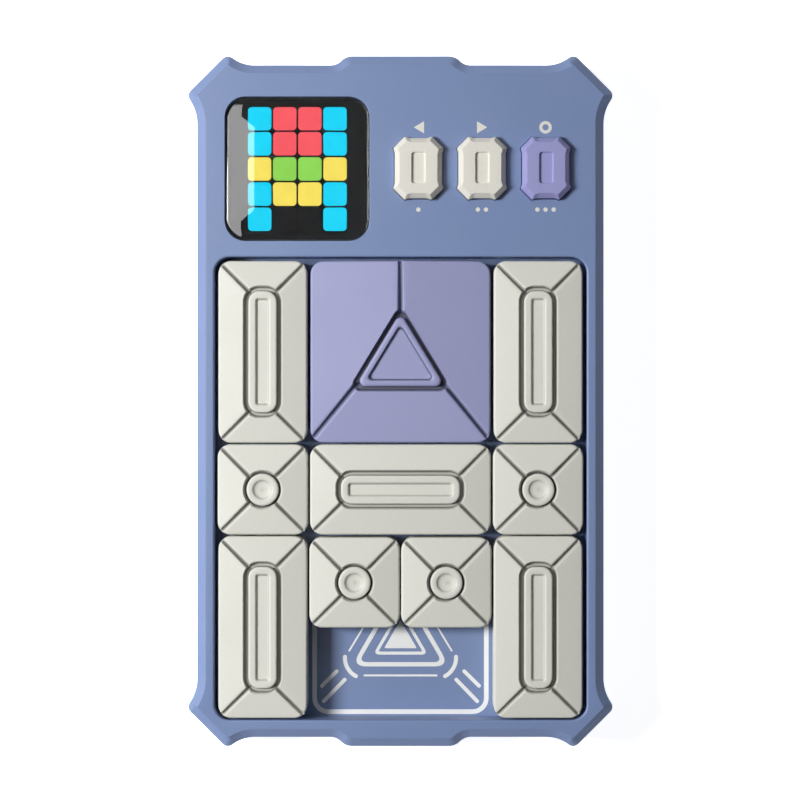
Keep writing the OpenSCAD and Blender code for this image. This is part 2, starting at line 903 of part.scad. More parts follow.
small_tile_base(1);  // small_tile_1_base
small_tile_magnet(1);  // small_tile_1_magnet
small_tile_cap(2);  // small_tile_2_cap
small_tile_base(2);  // small_tile_2_base
small_tile_magnet(2);  // small_tile_2_magnet
small_tile_cap(3);  // small_tile_3_cap
small_tile_base(3);  // small_tile_3_base
small_tile_magnet(3);  // small_tile_3_magnet
small_tile_cap(4);  // small_tile_4_cap
small_tile_base(4);  // small_tile_4_base
small_tile_magnet(4);  // small_tile_4_magnet
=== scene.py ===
# %% [markdown]
# # A handheld sliding tile puzzle
#
# This lesson dresses a finished engineering model of an electronic sliding-block puzzle. The
# case, ten loose tiles, three push buttons and a small lit display already exist as plain
# solids that move in the right way. Here each surface that the eye meets is modelled again
# with its real fillets, grooves and finishes, in exactly the place the solid holds.
#
# The first step loads the solids. Everything below takes its sizes from them, so the fine
# model and the working model never drift apart.

# %% Load the working model
import math

import bmesh
import bpy
import numpy as np
from mathutils import Matrix, Vector


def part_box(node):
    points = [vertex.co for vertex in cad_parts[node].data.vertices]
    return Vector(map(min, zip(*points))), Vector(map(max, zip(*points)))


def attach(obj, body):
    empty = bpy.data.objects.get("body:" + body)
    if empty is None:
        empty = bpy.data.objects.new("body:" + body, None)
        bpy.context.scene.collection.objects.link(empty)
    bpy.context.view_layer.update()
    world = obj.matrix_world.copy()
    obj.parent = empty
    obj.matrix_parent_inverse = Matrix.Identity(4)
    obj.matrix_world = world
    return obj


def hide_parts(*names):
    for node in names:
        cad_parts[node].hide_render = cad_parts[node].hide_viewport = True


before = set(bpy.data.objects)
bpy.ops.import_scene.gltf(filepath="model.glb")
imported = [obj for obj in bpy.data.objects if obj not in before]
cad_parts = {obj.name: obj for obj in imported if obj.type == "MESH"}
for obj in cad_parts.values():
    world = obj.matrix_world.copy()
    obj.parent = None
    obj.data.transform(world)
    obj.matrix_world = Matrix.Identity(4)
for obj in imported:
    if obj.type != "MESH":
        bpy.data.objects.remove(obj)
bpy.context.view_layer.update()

# %% [markdown]
# ## Working in millimetres
#
# A maker thinks of a case like this in millimetres, while Blender's scene is in metres. The
# helpers below read a solid's box in millimetres, and every new mesh is drawn in millimetres
# and scaled once, when it is finished. That keeps the numbers readable: a 0.5 mm fillet is
# written as 0.5.

# %% Boxes of the solids, in millimetres
MM = 0.001


def box_mm(node):
    """Lowest and highest corner of a node, in millimetres."""
    lo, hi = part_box(node)
    return np.array(lo) / MM, np.array(hi) / MM


def size_mm(node):
    """Width, length and height of a node."""
    lo, hi = box_mm(node)
    return hi - lo


def middle_mm(node):
    """Middle of a node's box."""
    lo, hi = box_mm(node)
    return (lo + hi) / 2


case_lo, case_hi = box_mm("front_housing")
case_w, case_l = (case_hi - case_lo)[:2]
face_z = case_hi[2]
seam_z = case_lo[2]
print("case", round(case_w, 2), "x", round(case_l, 2), "face at", round(face_z, 2))

# %% [markdown]
# ## Growing a surface ring by ring
#
# Moulded shells are mostly bands that run round an outline: a wall, a fillet, a sloping
# bevel. The simplest honest way to make one is to draw the outline once and extrude its
# edges again and again, placing each new ring a little further in or up. Every ring has the
# same number of points, so the bands are clean strips of four-sided faces, and a flat area
# at the end is filled in one go.

# %% Rings, bands and fills
def start_ring(bm, points):
    """The first closed ring of a surface."""
    ring = [bm.verts.new(p) for p in points]
    for a, b in zip(ring, ring[1:] + ring[:1]):
        bm.edges.new((a, b))
    return ring


def ring_edges(bm, ring):
    """The edges that join a ring's points in order."""
    return [bm.edges.get((a, b)) for a, b in zip(ring, ring[1:] + ring[:1])]


def next_ring(bm, ring, points):
    """Extrude a ring's edges and put the new ring's points where they belong."""
    grown = bmesh.ops.extrude_edge_only(bm, edges=ring_edges(bm, ring))["geom"]
    fresh = {g for g in grown if isinstance(g, bmesh.types.BMVert)}
    after = []
    for vert, place in zip(ring, points):
        twin = next(e.other_vert(vert) for e in vert.link_edges if e.other_vert(vert) in fresh)
        twin.co = place
        after.append(twin)
    return after


def loft(bm, rings, marks=()):
    """One band through all the rings; a mark per ring says how deep in a groove it lies, and so how
    much painted shade it gets.
    """
    layer = bm.verts.layers.float.get("hollow")
    ring = first = start_ring(bm, rings[0])
    for number, points in enumerate(rings):
        if number:
            ring = next_ring(bm, ring, points)
        if layer is not None and number < len(marks):
            for vert, mark in zip(ring, np.broadcast_to(marks[number], (len(ring),))):
                vert[layer] = float(mark)
    return first, ring


def close_ring(bm, ring):
    """Fill a flat ring with one face."""
    bmesh.ops.contextual_create(bm, geom=ring_edges(bm, ring))


def solid_loft(bm, rings, marks=()):
    """A band through all the rings, closed at both ends."""
    for end in loft(bm, rings, marks):
        close_ring(bm, end)


def fill_level(bm, z, up):
    """Fill everything between the open outlines that lie at one height."""
    edges = [e for e in bm.edges if e.is_boundary and all(abs(v.co.z - z) < 1e-4 for v in e.verts)]
    bmesh.ops.triangle_fill(bm, edges=edges, use_beauty=True, normal=(0, 0, up))


def at_height(points, z):
    """Points of a plan outline lifted to one height, or to one height each."""
    heights = np.broadcast_to(z, (len(points),))
    return [(float(x), float(y), float(h)) for (x, y), h in zip(points, heights)]


# %% [markdown]
# ## Finishing a piece
#
# Every piece goes the same way at the end: doubles are merged, faces turned outwards, the
# mesh scaled to metres, and its edges set sharp or smooth by angle. The weighted normals
# keep a large flat face flat right up to the small fillet beside it, as on a real moulding.

# %% Turn a drawn mesh into a piece
FINE_ANGLE = math.radians(32)
MERGE_MM = 0.002


def shade(mesh, angle):
    """Smooth faces, with edges kept sharp where they turn more than the angle."""
    mesh.polygons.foreach_set("use_smooth", [True] * len(mesh.polygons))
    mesh.set_sharp_from_angle(angle=angle)


def dress(obj, body, replaced=()):
    """Hand a finished object to its body and hide the solids it stands for."""
    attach(obj, body)
    if replaced:
        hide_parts(*replaced)


def weigh_normals(obj):
    """Let big faces decide the shading at their borders."""
    mod = obj.modifiers.new("flat_faces", "WEIGHTED_NORMAL")
    mod.keep_sharp = True
    mod.weight = 60


def finish_mesh(bm, name, material, angle=FINE_ANGLE):
    """Scale to metres and make the mesh, with its faces outwards."""
    bmesh.ops.remove_doubles(bm, verts=bm.verts, dist=MERGE_MM)
    bmesh.ops.dissolve_degenerate(bm, edges=bm.edges, dist=1e-5)
    bmesh.ops.recalc_face_normals(bm, faces=bm.faces)
    bmesh.ops.scale(bm, vec=(MM, MM, MM), verts=bm.verts)
    mesh = bpy.data.meshes.new(name)
    bm.to_mesh(mesh)
    bm.free()
    mesh.materials.append(material)
    shade(mesh, angle)
    return mesh


def place_piece(mesh, name, body, replaced=(), flat=True):
    """An object at the origin that holds the mesh."""
    obj = bpy.data.objects.new(name, mesh)
    bpy.context.scene.collection.objects.link(obj)
    if flat:
        weigh_normals(obj)
    print(name, len(mesh.polygons), "faces")
    dress(obj, body, replaced)


# %% [markdown]
# ## The camera
#
# The puzzle lies on its back and is looked at from straight above, so the camera hangs over
# the middle of the case and looks down with the display end at the top.

# %% Camera
VIEW_DISTANCE = 0.55
LENS_MM = 100.28
CAMERA_X, CAMERA_Y = -0.00012, 0.0003


def make_camera():
    """A long lens straight above the play face."""
    data = bpy.data.cameras.new("camera")
    data.lens = LENS_MM
    data.sensor_width = 36
    data.dof.use_dof = False
    cam = bpy.data.objects.new("camera", data)
    cam.location = (CAMERA_X, CAMERA_Y, face_z * MM + VIEW_DISTANCE)
    bpy.context.scene.collection.objects.link(cam)
    bpy.context.scene.camera = cam


make_camera()
bpy.context.scene.view_settings.view_transform = "Standard"
bpy.context.scene.view_settings.look = "None"
print("camera height", VIEW_DISTANCE)

# %% [markdown]
# ## Finishes
#
# Moulded plastic is never one flat colour. The mould's spark-eroded skin gives a fine grain,
# the colour drifts a little over a hand's width, and fingers leave areas that are slightly
# smoother. One shared group makes those three things, and each plastic sets its own scale
# and strength. It also darkens the colour where a mesh marks a groove or moat, which is
# painted shade. The group gives out a colour, a roughness and a height, and the shader stays
# in the material itself.

# %% The moulded skin group
def link_up(tree, *pairs):
    """Join pairs of sockets."""
    for source, target in pairs:
        tree.links.new(source, target)


def set_inputs(node, values):
    """Set a node's own sockets by name."""
    for label, value in values.items():
        node.inputs[label].default_value = value


def object_space(tree):
    """Coordinates fixed to the object, in metres."""
    return tree.nodes.new("ShaderNodeTexCoord").outputs["Object"]


def start_group(name, inputs, outputs):
    """A shader group with named sockets."""
    tree = bpy.data.node_groups.new(name, "ShaderNodeTree")
    for label, kind, value in inputs:
        socket = tree.interface.new_socket(label, in_out="INPUT", socket_type=kind)
        socket.default_value = value
    for label, kind in outputs:
        tree.interface.new_socket(label, in_out="OUTPUT", socket_type=kind)
    return tree, tree.nodes.new("NodeGroupInput"), tree.nodes.new("NodeGroupOutput")


def noise(tree, coordinate, detail=2.0, scale=None):
    """A noise texture on the given coordinate."""
    node = tree.nodes.new("ShaderNodeTexNoise")
    node.inputs["Detail"].default_value = detail
    if scale is not None:
        node.inputs["Scale"].default_value = scale
    tree.links.new(coordinate, node.inputs["Vector"])
    return node


def mixed(tree, share, first, second):
    """A mix of two colours; each value is a socket or a plain colour."""
    mix = tree.nodes.new("ShaderNodeMix")
    mix.data_type = "RGBA"
    for number, value in ((0, share), (6, first), (7, second)):
        if isinstance(value, tuple):
            mix.inputs[number].default_value = value
        else:
            tree.links.new(value, mix.inputs[number])
    return mix.outputs[2]


def add_bump(tree, shader, height, strength, reach_mm):
    """Let a height bend the shader's normal a little."""
    bump = tree.nodes.new("ShaderNodeBump")
    set_inputs(bump, {"Strength": strength, "Distance": reach_mm * MM})
    link_up(tree, (height, bump.inputs["Height"]),
            (bump.outputs["Normal"], shader.inputs["Normal"]))


def spread(tree, value, low, high, to_low, to_high):
    """Stretch the middle part of a noise over a wanted range."""
    node = tree.nodes.new("ShaderNodeMapRange")
    for socket, number in zip(node.inputs[1:5], (low, high, to_low, to_high)):
        if isinstance(number, (int, float)):
            socket.default_value = number
        else:
            tree.links.new(number, socket)
    tree.links.new(value, node.inputs[0])
    return node.outputs[0]


COLOUR = "NodeSocketColor"
NUMBER = "NodeSocketFloat"


def make_moulded_skin():
    """Colour drift, handled areas, the grain of the mould and painted shade in marked grooves."""
    tree, feed, out = start_group(
        "Moulded_Skin",
        [("Light", COLOUR, (1, 1, 1, 1)), ("Dark", COLOUR, (0, 0, 0, 1)),
         ("Painted Shade", COLOUR, (0, 0, 0, 1)),
         ("Drift Scale", NUMBER, 14.0), ("Grain Scale", NUMBER, 4200.0),
         ("Smooth", NUMBER, 0.4), ("Rough", NUMBER, 0.5)],
        [("Colour", COLOUR), ("Roughness", NUMBER), ("Height", NUMBER)])
    place = object_space(tree)
    drift = noise(tree, place, 3)
    grain = noise(tree, place, 3)
    handled = noise(tree, place, 4, 60.0)
    fleck = noise(tree, place, 2, 900.0)
    blend = tree.nodes.new("ShaderNodeMath")
    blend.operation = "MULTIPLY_ADD"
    blend.inputs[1].default_value = 0.25
    tone = mixed(tree, blend.outputs[0], feed.outputs["Light"], feed.outputs["Dark"])
    # painted shade: where the mesh marks a groove or moat, the colour is mixed towards a darker
    # one, standing in for the shade that falls there
    depth = tree.nodes.new("ShaderNodeAttribute")
    depth.attribute_name = "hollow"
    rough = spread(tree, handled.outputs[0], 0.35, 0.65,
                   feed.outputs["Smooth"], feed.outputs["Rough"])
    link_up(tree, (feed.outputs["Drift Scale"], drift.inputs["Scale"]),
            (feed.outputs["Grain Scale"], grain.inputs["Scale"]),
            (spread(tree, fleck.outputs[0], 0.35, 0.65, 0, 1), blend.inputs[0]),
            (spread(tree, drift.outputs[0], 0.3, 0.7, 0, 0.75), blend.inputs[2]),
            (mixed(tree, depth.outputs["Fac"], tone, feed.outputs["Painted Shade"]),
             out.inputs["Colour"]),
            (grain.outputs[0], out.inputs["Height"]), (rough, out.inputs["Roughness"]))
    return tree


MOULDED_SKIN = make_moulded_skin()


# %% Materials made with the skin group
def start_material(name):
    """An empty node material and its shader."""
    mat = bpy.data.materials.new(name)
    mat.use_nodes = True
    return mat, mat.node_tree, mat.node_tree.nodes["Principled BSDF"]


def rgba(colour):
    """A colour with full alpha."""
    return (*colour, 1.0)


def darker(colour, amount):
    """The same hue, a little darker."""
    return tuple(c * amount for c in colour)


DRIFT_SHADE = 0.94
# share of the plastic's colour left in the painted shade of grooves and moats
PAINTED_GROOVE_SHADE = 0.2
GRAIN_MM = 0.03


def moulded(name, colour, smooth, rough, grain=4200.0, depth=0.12, metallic=0.0):
    """A plastic, rubber or metal whose skin comes from the shared group."""
    mat, tree, shader = start_material(name)
    skin = tree.nodes.new("ShaderNodeGroup")
    skin.node_tree = MOULDED_SKIN
    set_inputs(skin, {"Light": rgba(colour), "Dark": rgba(darker(colour, DRIFT_SHADE)),
                      "Painted Shade": rgba(darker(colour, PAINTED_GROOVE_SHADE)), "Grain Scale": grain,
                      "Smooth": smooth, "Rough": rough})
    shader.inputs["Metallic"].default_value = metallic
    link_up(tree, (skin.outputs["Colour"], shader.inputs["Base Color"]),
            (skin.outputs["Roughness"], shader.inputs["Roughness"]))
    add_bump(tree, shader, skin.outputs["Height"], depth, GRAIN_MM)
    return mat


HOUSING_BLUE = moulded("housing_blue", (0.195, 0.27, 0.485), 0.38, 0.46)
TRAY_BLUE = moulded("tray_blue", (0.19, 0.262, 0.46), 0.42, 0.5)
TILE_CREAM = moulded("tile_cream", (0.72, 0.715, 0.65), 0.52, 0.6)
TILE_PURPLE = moulded("tile_purple", (0.328, 0.342, 0.57), 0.5, 0.58)
BUTTON_CREAM = moulded("button_cream", (0.80, 0.775, 0.70), 0.46, 0.54)
BUTTON_PURPLE = moulded("button_purple", (0.335, 0.335, 0.64), 0.46, 0.54)
PRINT_WHITE = moulded("print_white", (0.88, 0.885, 0.88), 0.5, 0.6, grain=6000.0)
GRID_BLACK = moulded("grid_black", (0.012, 0.012, 0.014), 0.5, 0.6)
CELL_OFF = moulded("cell_off", (0.02, 0.02, 0.022), 0.3, 0.4)
LED_WHITE = moulded("led_white", (0.85, 0.84, 0.76), 0.3, 0.4)
CHIP_BLACK = moulded("chip_black", (0.02, 0.02, 0.022), 0.45, 0.6, grain=9000.0)
STEEL = moulded("steel", (0.60, 0.61, 0.62), 0.24, 0.36, metallic=1.0, grain=9000.0, depth=0.05)
NICKEL = moulded("nickel", (0.62, 0.61, 0.58), 0.12, 0.2, metallic=1.0, depth=0.03)
RUBBER = moulded("rubber", (0.025, 0.025, 0.027), 0.7, 0.85, grain=2500.0, depth=0.25)
BASE_GREY = moulded("base_grey", (0.075, 0.080, 0.095), 0.45, 0.55)
CABLE_GREY = moulded("cable_grey", (0.35, 0.35, 0.36), 0.45, 0.55)
PLUNGER_WHITE = moulded("plunger_white", (0.80, 0.80, 0.80), 0.35, 0.45)
print("materials", len(bpy.data.materials))

# %% [markdown]
# ## The case outline
#
# Seen from above the case has a shallow tab in the middle of each short side and an ear at
# each corner, cut off at 45 degrees. Straight lines and arcs that meet without a kink give
# the whole outline, and a second value moves every line inwards by the same distance, which
# is what a bevel of even width needs. Where the ear's small rounding is used up, its points
# meet in one sharp corner.

# %% Outline of the case
TAB_HALF = 12.0
TAB_RUNOUT = 17.4
SIDE_DROP = 2.2
END_DROP = 2.25
DIP_X = 36.0
WAIST_Y = 68.5
EAR_CUT = 9.0
EAR_R = 1.8


def arc(cx, cy, r, start, end, steps):
    """Points on an arc, angles in degrees."""
    angles = np.radians(np.linspace(start, end, steps + 1))
    return [(cx + r * math.cos(a), cy + r * math.sin(a)) for a in angles]


def circle(cx, cy, r, steps=24):
    """A closed circle of points."""
    return arc(cx, cy, r, 0, 360 - 360 / steps, steps - 1)


def hollow_radius(run, rise):
    """Radius of the arc that leaves a straight side and meets the ear."""
    return (run * run + rise * rise - EAR_R * EAR_R) / (2 * (EAR_R - rise))


def mirrored(points, sx, sy):
    """The same points turned over, in the order that keeps the outline running on."""
    turned = [(x * sx, y * sy) for x, y in points]
    return turned[::-1] if sx * sy < 0 else turned


def meet_ear(centre, radius, edge_sum, near):
    """Angle at which a hollow arc meets the ear's 45 degree edge."""
    k = (edge_sum - centre[0] - centre[1]) / (radius * math.sqrt(2))
    swing = math.degrees(math.acos(max(-1.0, min(1.0, k))))
    return min((45 - swing, 45 + swing), key=lambda angle: abs(angle - near))


def case_outline(inset):
    """The whole outline of the case, moved inwards by an even distance."""
    half_w, half_l = case_w / 2, case_l / 2
    side_x, end_y = half_w - SIDE_DROP, half_l - END_DROP
    run = TAB_RUNOUT - TAB_HALF
    sweep = 2 * math.degrees(math.atan(END_DROP / run))
    tab_r = run / (2 * math.sin(math.radians(sweep)))
    edge = half_w + half_l - EAR_CUT
    total = edge - EAR_R * math.sqrt(2)
    top = (total - half_l + EAR_R, half_l - EAR_R)
    side = (half_w - EAR_R, total - half_w + EAR_R)
    top_r = hollow_radius(top[0] - DIP_X, end_y - top[1])
    side_r = hollow_radius(side[1] - WAIST_Y, side_x - side[0])
    top_hollow = (DIP_X, end_y + top_r)
    side_hollow = (side_x + side_r, WAIST_Y)
    top_a = math.degrees(math.atan2(top[1] - top_hollow[1], top[0] - top_hollow[0]))
    side_a = math.degrees(math.atan2(side[1] - side_hollow[1], side[0] - side_hollow[0]))
    quarter = arc(TAB_HALF, half_l - tab_r, tab_r - inset, 90, 90 - sweep, 7)
    quarter += arc(TAB_RUNOUT, end_y + tab_r, tab_r + inset, 270 - sweep, 270, 7)[1:]
    if inset < EAR_R:
        quarter += arc(*top_hollow, top_r + inset, -90, top_a, 9)
        quarter += arc(*top, EAR_R - inset, top_a + 180, 45, 7)[1:]
        quarter += arc(*side, EAR_R - inset, 45, side_a - 180, 7)
        quarter += arc(*side_hollow, side_r + inset, side_a, 180, 9)[1:]
    else:
        line = edge - inset * math.sqrt(2)
        top_end = meet_ear(top_hollow, top_r + inset, line, top_a)
        side_end = meet_ear(side_hollow, side_r + inset, line, side_a)
        upper = arc(*top_hollow, top_r + inset, -90, top_end, 9)
        lower = arc(*side_hollow, side_r + inset, side_end, 180, 9)
        quarter += upper + [upper[-1]] * 7 + [lower[0]] * 8 + lower[1:]
    right = quarter + mirrored(quarter, 1, -1)
    return (right + mirrored(right, -1, 1))[::-1]


print("points in the outline", len(case_outline(0.0)), len(case_outline(2.2)))

# %% [markdown]
# ## The front housing
#
# The blue shell is one moulding: a straight wall, a wide sloping bevel with crisp creases,
# and a flat face with openings for the tray, the lens and the three buttons. Each opening is
# a band that starts as a small fillet on the face and runs down inside. The bands are made
# first, and the flat areas between them are then filled level by level, which gives a closed
# solid with true wall thickness.

# %% Rounded outlines
def rounded_box(size, r, grow=0.0, centre=(0.0, 0.0), steps=8, least=0.0):
    """A rectangle with round corners, grown by a distance, counter-clockwise."""
    w, l = size[0] + 2 * grow, size[1] + 2 * grow
    r = max(r + grow, least)
    points = []
    for sx, sy, start in ((1, 1, 0), (-1, 1, 90), (-1, -1, 180), (1, -1, 270)):
        points += arc(centre[0] + sx * (w / 2 - r), centre[1] + sy * (l / 2 - r),
                      r, start, start + 90, steps)
    return points


FILLET_STEPS = 4


def fillet(r):
    """How far in and how far down each ring of a quarter-round edge lies, from the face."""
    turns = np.linspace(0, math.pi / 2, FILLET_STEPS + 1)
    return [(r * (1 - math.sin(t)), r * (1 - math.cos(t))) for t in turns]


def opening_band(bm, outline, z_top, r, rest):
    """A filleted opening in a flat face: outline(grow) gives the edge grown by a distance."""
    rings = [at_height(outline(step), z_top - drop) for step, drop in fillet(r)]
    rings += [at_height(outline(grow), z) for grow, z in rest]
    loft(bm, rings)


# %% Outline of a button
BUTTON_CUT = 2.85
BUTTON_FLARE = (0.38, 1.1)
buttons = [f"button_{side}" for side in ("left", "middle", "right")]
FLANGE_W = 0.5
button_w, button_l = size_mm("button_left")[:2] - 2 * FLANGE_W
BUTTON_GAP = 0.16
BUTTON_SOFT = 0.25


def soften(points, r, steps=3):
    """Round every corner of an outline with a short arc of about the same radius."""
    out = []
    for before, here, after in zip(points[-1:] + points[:-1], points, points[1:] + points[:1]):
        p, a, b = Vector(here), Vector(before), Vector(after)
        to_a, to_b = (a - p).normalized(), (b - p).normalized()
        reach = min(r, (a - p).length * 0.4, (b - p).length * 0.4)
        start, end = p + to_a * reach, p + to_b * reach
        for t in np.linspace(0, 1, steps + 1):
            out.append(tuple(start * (1 - t) ** 2 + p * 2 * t * (1 - t) + end * t * t))
    return out


def button_outline(at, grow):
    """A button's outline: cut corners that end in small points."""
    w, l = button_w / 2 + grow, button_l / 2 + grow
    cut = BUTTON_CUT + grow * (2 - math.sqrt(2))
    flare_in, flare_run = BUTTON_FLARE
    quarter = [(w - flare_in, l - cut - flare_run), (w, l - cut),
               (w - cut, l), (w - cut - flare_run, l - flare_in)]
    right = mirrored(quarter, 1, -1) + quarter
    points = right + mirrored(right, -1, 1)
    return [(x + at[0], y + at[1]) for x, y in soften(points, BUTTON_SOFT)]


button_at = [middle_mm(node)[:2] for node in buttons]
print("button", round(button_w, 2), "x", round(button_l, 2))

# %% Front housing
WALL = 2.0
BEVEL_IN = 2.2
BEVEL_DOWN = 1.7
TRAY_R = 3.8
FLOOR_LIP = 0.7
LENS_GAP = 0.5
LENS_R = 5.1
LENS_FLANGE = 1.2
ROOM_Y, ROOM_L, ROOM_R = 59.3, 43.0, 8.0
SOFT_CREASE = 0.16
floor_z = box_mm("tray_floor")[1][2]
tray_size = size_mm("tray_floor")[:2] - 2 * FLOOR_LIP
tray_at = middle_mm("tray_floor")[:2]
lens_opening = size_mm("display_lens")[:2] - 2 * LENS_FLANGE
lens_at = middle_mm("display_lens")[:2]
POSTS = ((43.5, 77.3), (44.3, 41.8))


def screw_post(bm, x, y):
    """A post with a blind pilot hole, standing on the inside of the face."""
    steps = ((2.8, face_z - WALL + 0.05), (2.8, seam_z + 0.2), (2.6, seam_z), (0.95, seam_z),
             (0.95, 16.0))
    solid_loft(bm, [at_height(circle(x, y, r), z) for r, z in steps])


def front_housing():
    """The whole blue front shell."""
    bm = bmesh.new()
    slope = math.hypot(BEVEL_IN, BEVEL_DOWN)
    run_in, run_down = BEVEL_IN / slope, BEVEL_DOWN / slope
    low = face_z - BEVEL_DOWN
    soft = SOFT_CREASE
    outer = [(0.22, seam_z), (0.06, seam_z + 0.06), (0.0, seam_z + 0.22), (0.0, low - soft),
             (0.02, low - 0.04), (soft * run_in, low + soft * run_down),
             (BEVEL_IN - soft * run_in, face_z - soft * run_down),
             (BEVEL_IN - 0.02, face_z - 0.015), (BEVEL_IN + soft, face_z)]
    loft(bm, [at_height(case_outline(i), z) for i, z in outer])
    opening_band(bm, lambda g: rounded_box(tray_size, TRAY_R, g, tray_at),
                 face_z, 0.45, [(0.0, floor_z), (FLOOR_LIP, floor_z), (FLOOR_LIP, seam_z)])
    opening_band(bm, lambda g: rounded_box(lens_opening, LENS_R, g, lens_at),
                 face_z, 0.18, [(0.0, face_z - WALL)])
    for at in button_at:
        opening_band(bm, lambda g, at=at: button_outline(at, BUTTON_GAP + g),
                     face_z, 0.1, [(0.0, face_z - WALL)])
    room = rounded_box((case_w - 2 * SIDE_DROP - 5, ROOM_L), ROOM_R, centre=(0.0, ROOM_Y))
    loft(bm, [at_height(room, z) for z in (face_z - WALL, seam_z)])
    bmesh.ops.remove_doubles(bm, verts=bm.verts, dist=MERGE_MM)
    fill_level(bm, face_z, 1)
    fill_level(bm, face_z - WALL, -1)
    fill_level(bm, seam_z, -1)
    for x, y in POSTS:
        screw_post(bm, x, y)
        screw_post(bm, -x, y)
    open_edges = sum(1 for e in bm.edges if e.is_boundary)
    print("open edges left in the front housing", open_edges)
    mesh = finish_mesh(bm, "front_shell", HOUSING_BLUE)
    place_piece(mesh, "front_shell", "housing", ["front_housing"])


front_housing()

# %% [markdown]
# ## The tiles
#
# All ten tiles share one idea. The top is a low roof whose sides fall to the rim, a raised
# centre stands in the middle with a moat round it, and narrow grooves run from the moat to
# the corners along the ridges of the roof. Every ring of the mesh therefore has the same
# stations: a bunch of points across each groove, and evenly spread points between grooves.
# The roof's height is a plain formula, so all flat facets are truly flat. Each ring also
# carries a mark that says how deep in a groove or moat it lies, and the colour is darkened
# there as painted shade.

# %% Stations round an outline
TURN_WEIGHT = 6.0
GROOVE_ACROSS = (-1.0, -0.74, -0.26, 0.0, 0.26, 0.74, 1.0)
GROOVE_DEPTH = np.array([0.0, 0.1, 0.9, 1.0, 0.9, 0.1, 0.0])
# how fast the painted shade fades from a groove's bottom towards its lips
PAINTED_SHADE_FALL = 3


def stations(path, crossings, half, count):
    """Matched points on a closed outline: seven across each groove, count between grooves."""
    pts = np.array(path, float)
    loop = np.vstack([pts, pts[:1]])
    step = np.diff(loop, axis=0)
    length = np.hypot(*step.T)
    keep = length > 1e-6
    step, length = step[keep], length[keep]
    loop = np.vstack([loop[:-1][keep], loop[:1]])
    heading = np.unwrap(np.arctan2(step[:, 1], step[:, 0]))
    turn = np.abs(np.diff(np.append(heading, heading[0] + 2 * math.pi)))
    dist = np.append(0, np.cumsum(length))
    weight = np.append(0, np.cumsum(length + TURN_WEIGHT * turn))
    total, full = dist[-1], weight[-1]
    dist3 = np.concatenate([dist[:-1] - total, dist[:-1], dist + total])
    weight3 = np.concatenate([weight[:-1] - full, weight[:-1], weight + full])
    loop3 = np.vstack([loop[:-1], loop[:-1], loop])
    fine = np.linspace(0, total, 4000, endpoint=False)
    fine_xy = np.column_stack([np.interp(fine, dist3, loop3[:, k]) for k in (0, 1)])
    marks = [fine[np.argmin(np.hypot(*(fine_xy - c).T))] for c in crossings]
    places = []
    for k, mark in enumerate(marks):
        after = marks[(k + 1) % len(marks)]
        after += total if after <= mark else 0
        places += [mark + half * a for a in GROOVE_ACROSS]
        start, end = (np.interp(s, dist3, weight3) for s in (mark + half, after - half))
        between = np.linspace(start, end, count + 2)[1:-1]
        places += list(np.interp(between, weight3, dist3))
    return np.column_stack([np.interp(places, dist3, loop3[:, k]) for k in (0, 1)])


def groove_share(grooves, count):
    """How much of a groove's depth each station has."""
    return np.tile(np.concatenate([GROOVE_DEPTH, np.zeros(count)]), grooves)


# %% Heights shared by all caps
RIM_ABOVE_FACE = 0.3
ROOF_SLOPE = 0.13
CAP_WALL = 1.5
TILE_R = 3.2
RIM_FILLET = 0.5
BETWEEN = 22
FOOT = 0.25
PLAIN_HALF = 0.3
rim_z = face_z + RIM_ABOVE_FACE
tile_z = box_mm("small_tile_1_cap")[0][2]
hollow_z = rim_z - 1.6


def facet_height(points, w, l):
    """Height of the roof over each point of a cap."""
    x, y = np.abs(points[:, 0]), np.abs(points[:, 1])
    return rim_z + ROOF_SLOPE * np.minimum(w / 2 - x, l / 2 - y)


def cap_outline(size, inset, crossings, half, count):
    """Stations on the outline of a cap, moved inwards."""
    path = rounded_box(size, TILE_R, -inset, steps=24, least=0.3)
    return stations(path, crossings, half, count)


def skirt_rings(size, crossings, count):
    """From the rim's fillet down the sides, round the foot and up into the hollow."""
    steps = ((0.0, rim_z - RIM_FILLET - 0.3), (0.0, tile_z + FOOT), (0.07, tile_z + 0.07),
             (FOOT, tile_z), (CAP_WALL, tile_z), (CAP_WALL, hollow_z))
    return [at_height(cap_outline(size, inset, crossings, PLAIN_HALF, count), z)
            for inset, z in steps]


def facet_rings(size, inner, far, half, deep, roof, brim):
    """Rings and groove marks from a moat's edge over the facets and down to the foot.

    The roof gives the facets' height over some points, the brim that of the rim's fillet.
    """
    count = len(inner) // len(far) - len(GROOVE_ACROSS)
    share = groove_share(len(far), count)
    # painted shade: darkest at a groove's bottom, none on its lips
    painted_shade = share ** PAINTED_SHADE_FALL
    rim_edge = cap_outline(size, RIM_FILLET, far, half, count)
    rings, marks = [], []
    for t in (0.0, 0.03, 0.5, 1.0):
        points = inner * (1 - t) + rim_edge * t
        depth = deep[0] * (1 - t) + deep[1] * t
        rings.append(at_height(points, roof(points) - share * depth))
        marks.append(painted_shade)
    for inset, drop in fillet(RIM_FILLET)[1:]:
        points = cap_outline(size, inset, far, half, count)
        fade = (inset / RIM_FILLET) ** 0.5
        rings.append(at_height(points, brim(points, inset) - drop - share * deep[1] * fade))
        marks.append(painted_shade * fade)
    return rings + skirt_rings(size, far, count), marks


def cap_mesh(name, rings, marks, material):
    """The mesh of a cap, with the marks that paint shade into its grooves."""
    bm = bmesh.new()
    # the hollow layer holds each vertex's painted shade
    bm.verts.layers.float.new("hollow")
    solid_loft(bm, rings, marks)
    return finish_mesh(bm, name, material)


# %% [markdown]
# ### Caps with a raised disc or pill
#
# The small square tiles carry a disc with a shallow dished finger spot. On the long tiles
# the disc is drawn out to a pill with a flat sunk slot. A disc is just a pill without a
# straight part, so one function makes both, and the bar is a tall cap turned on its side.

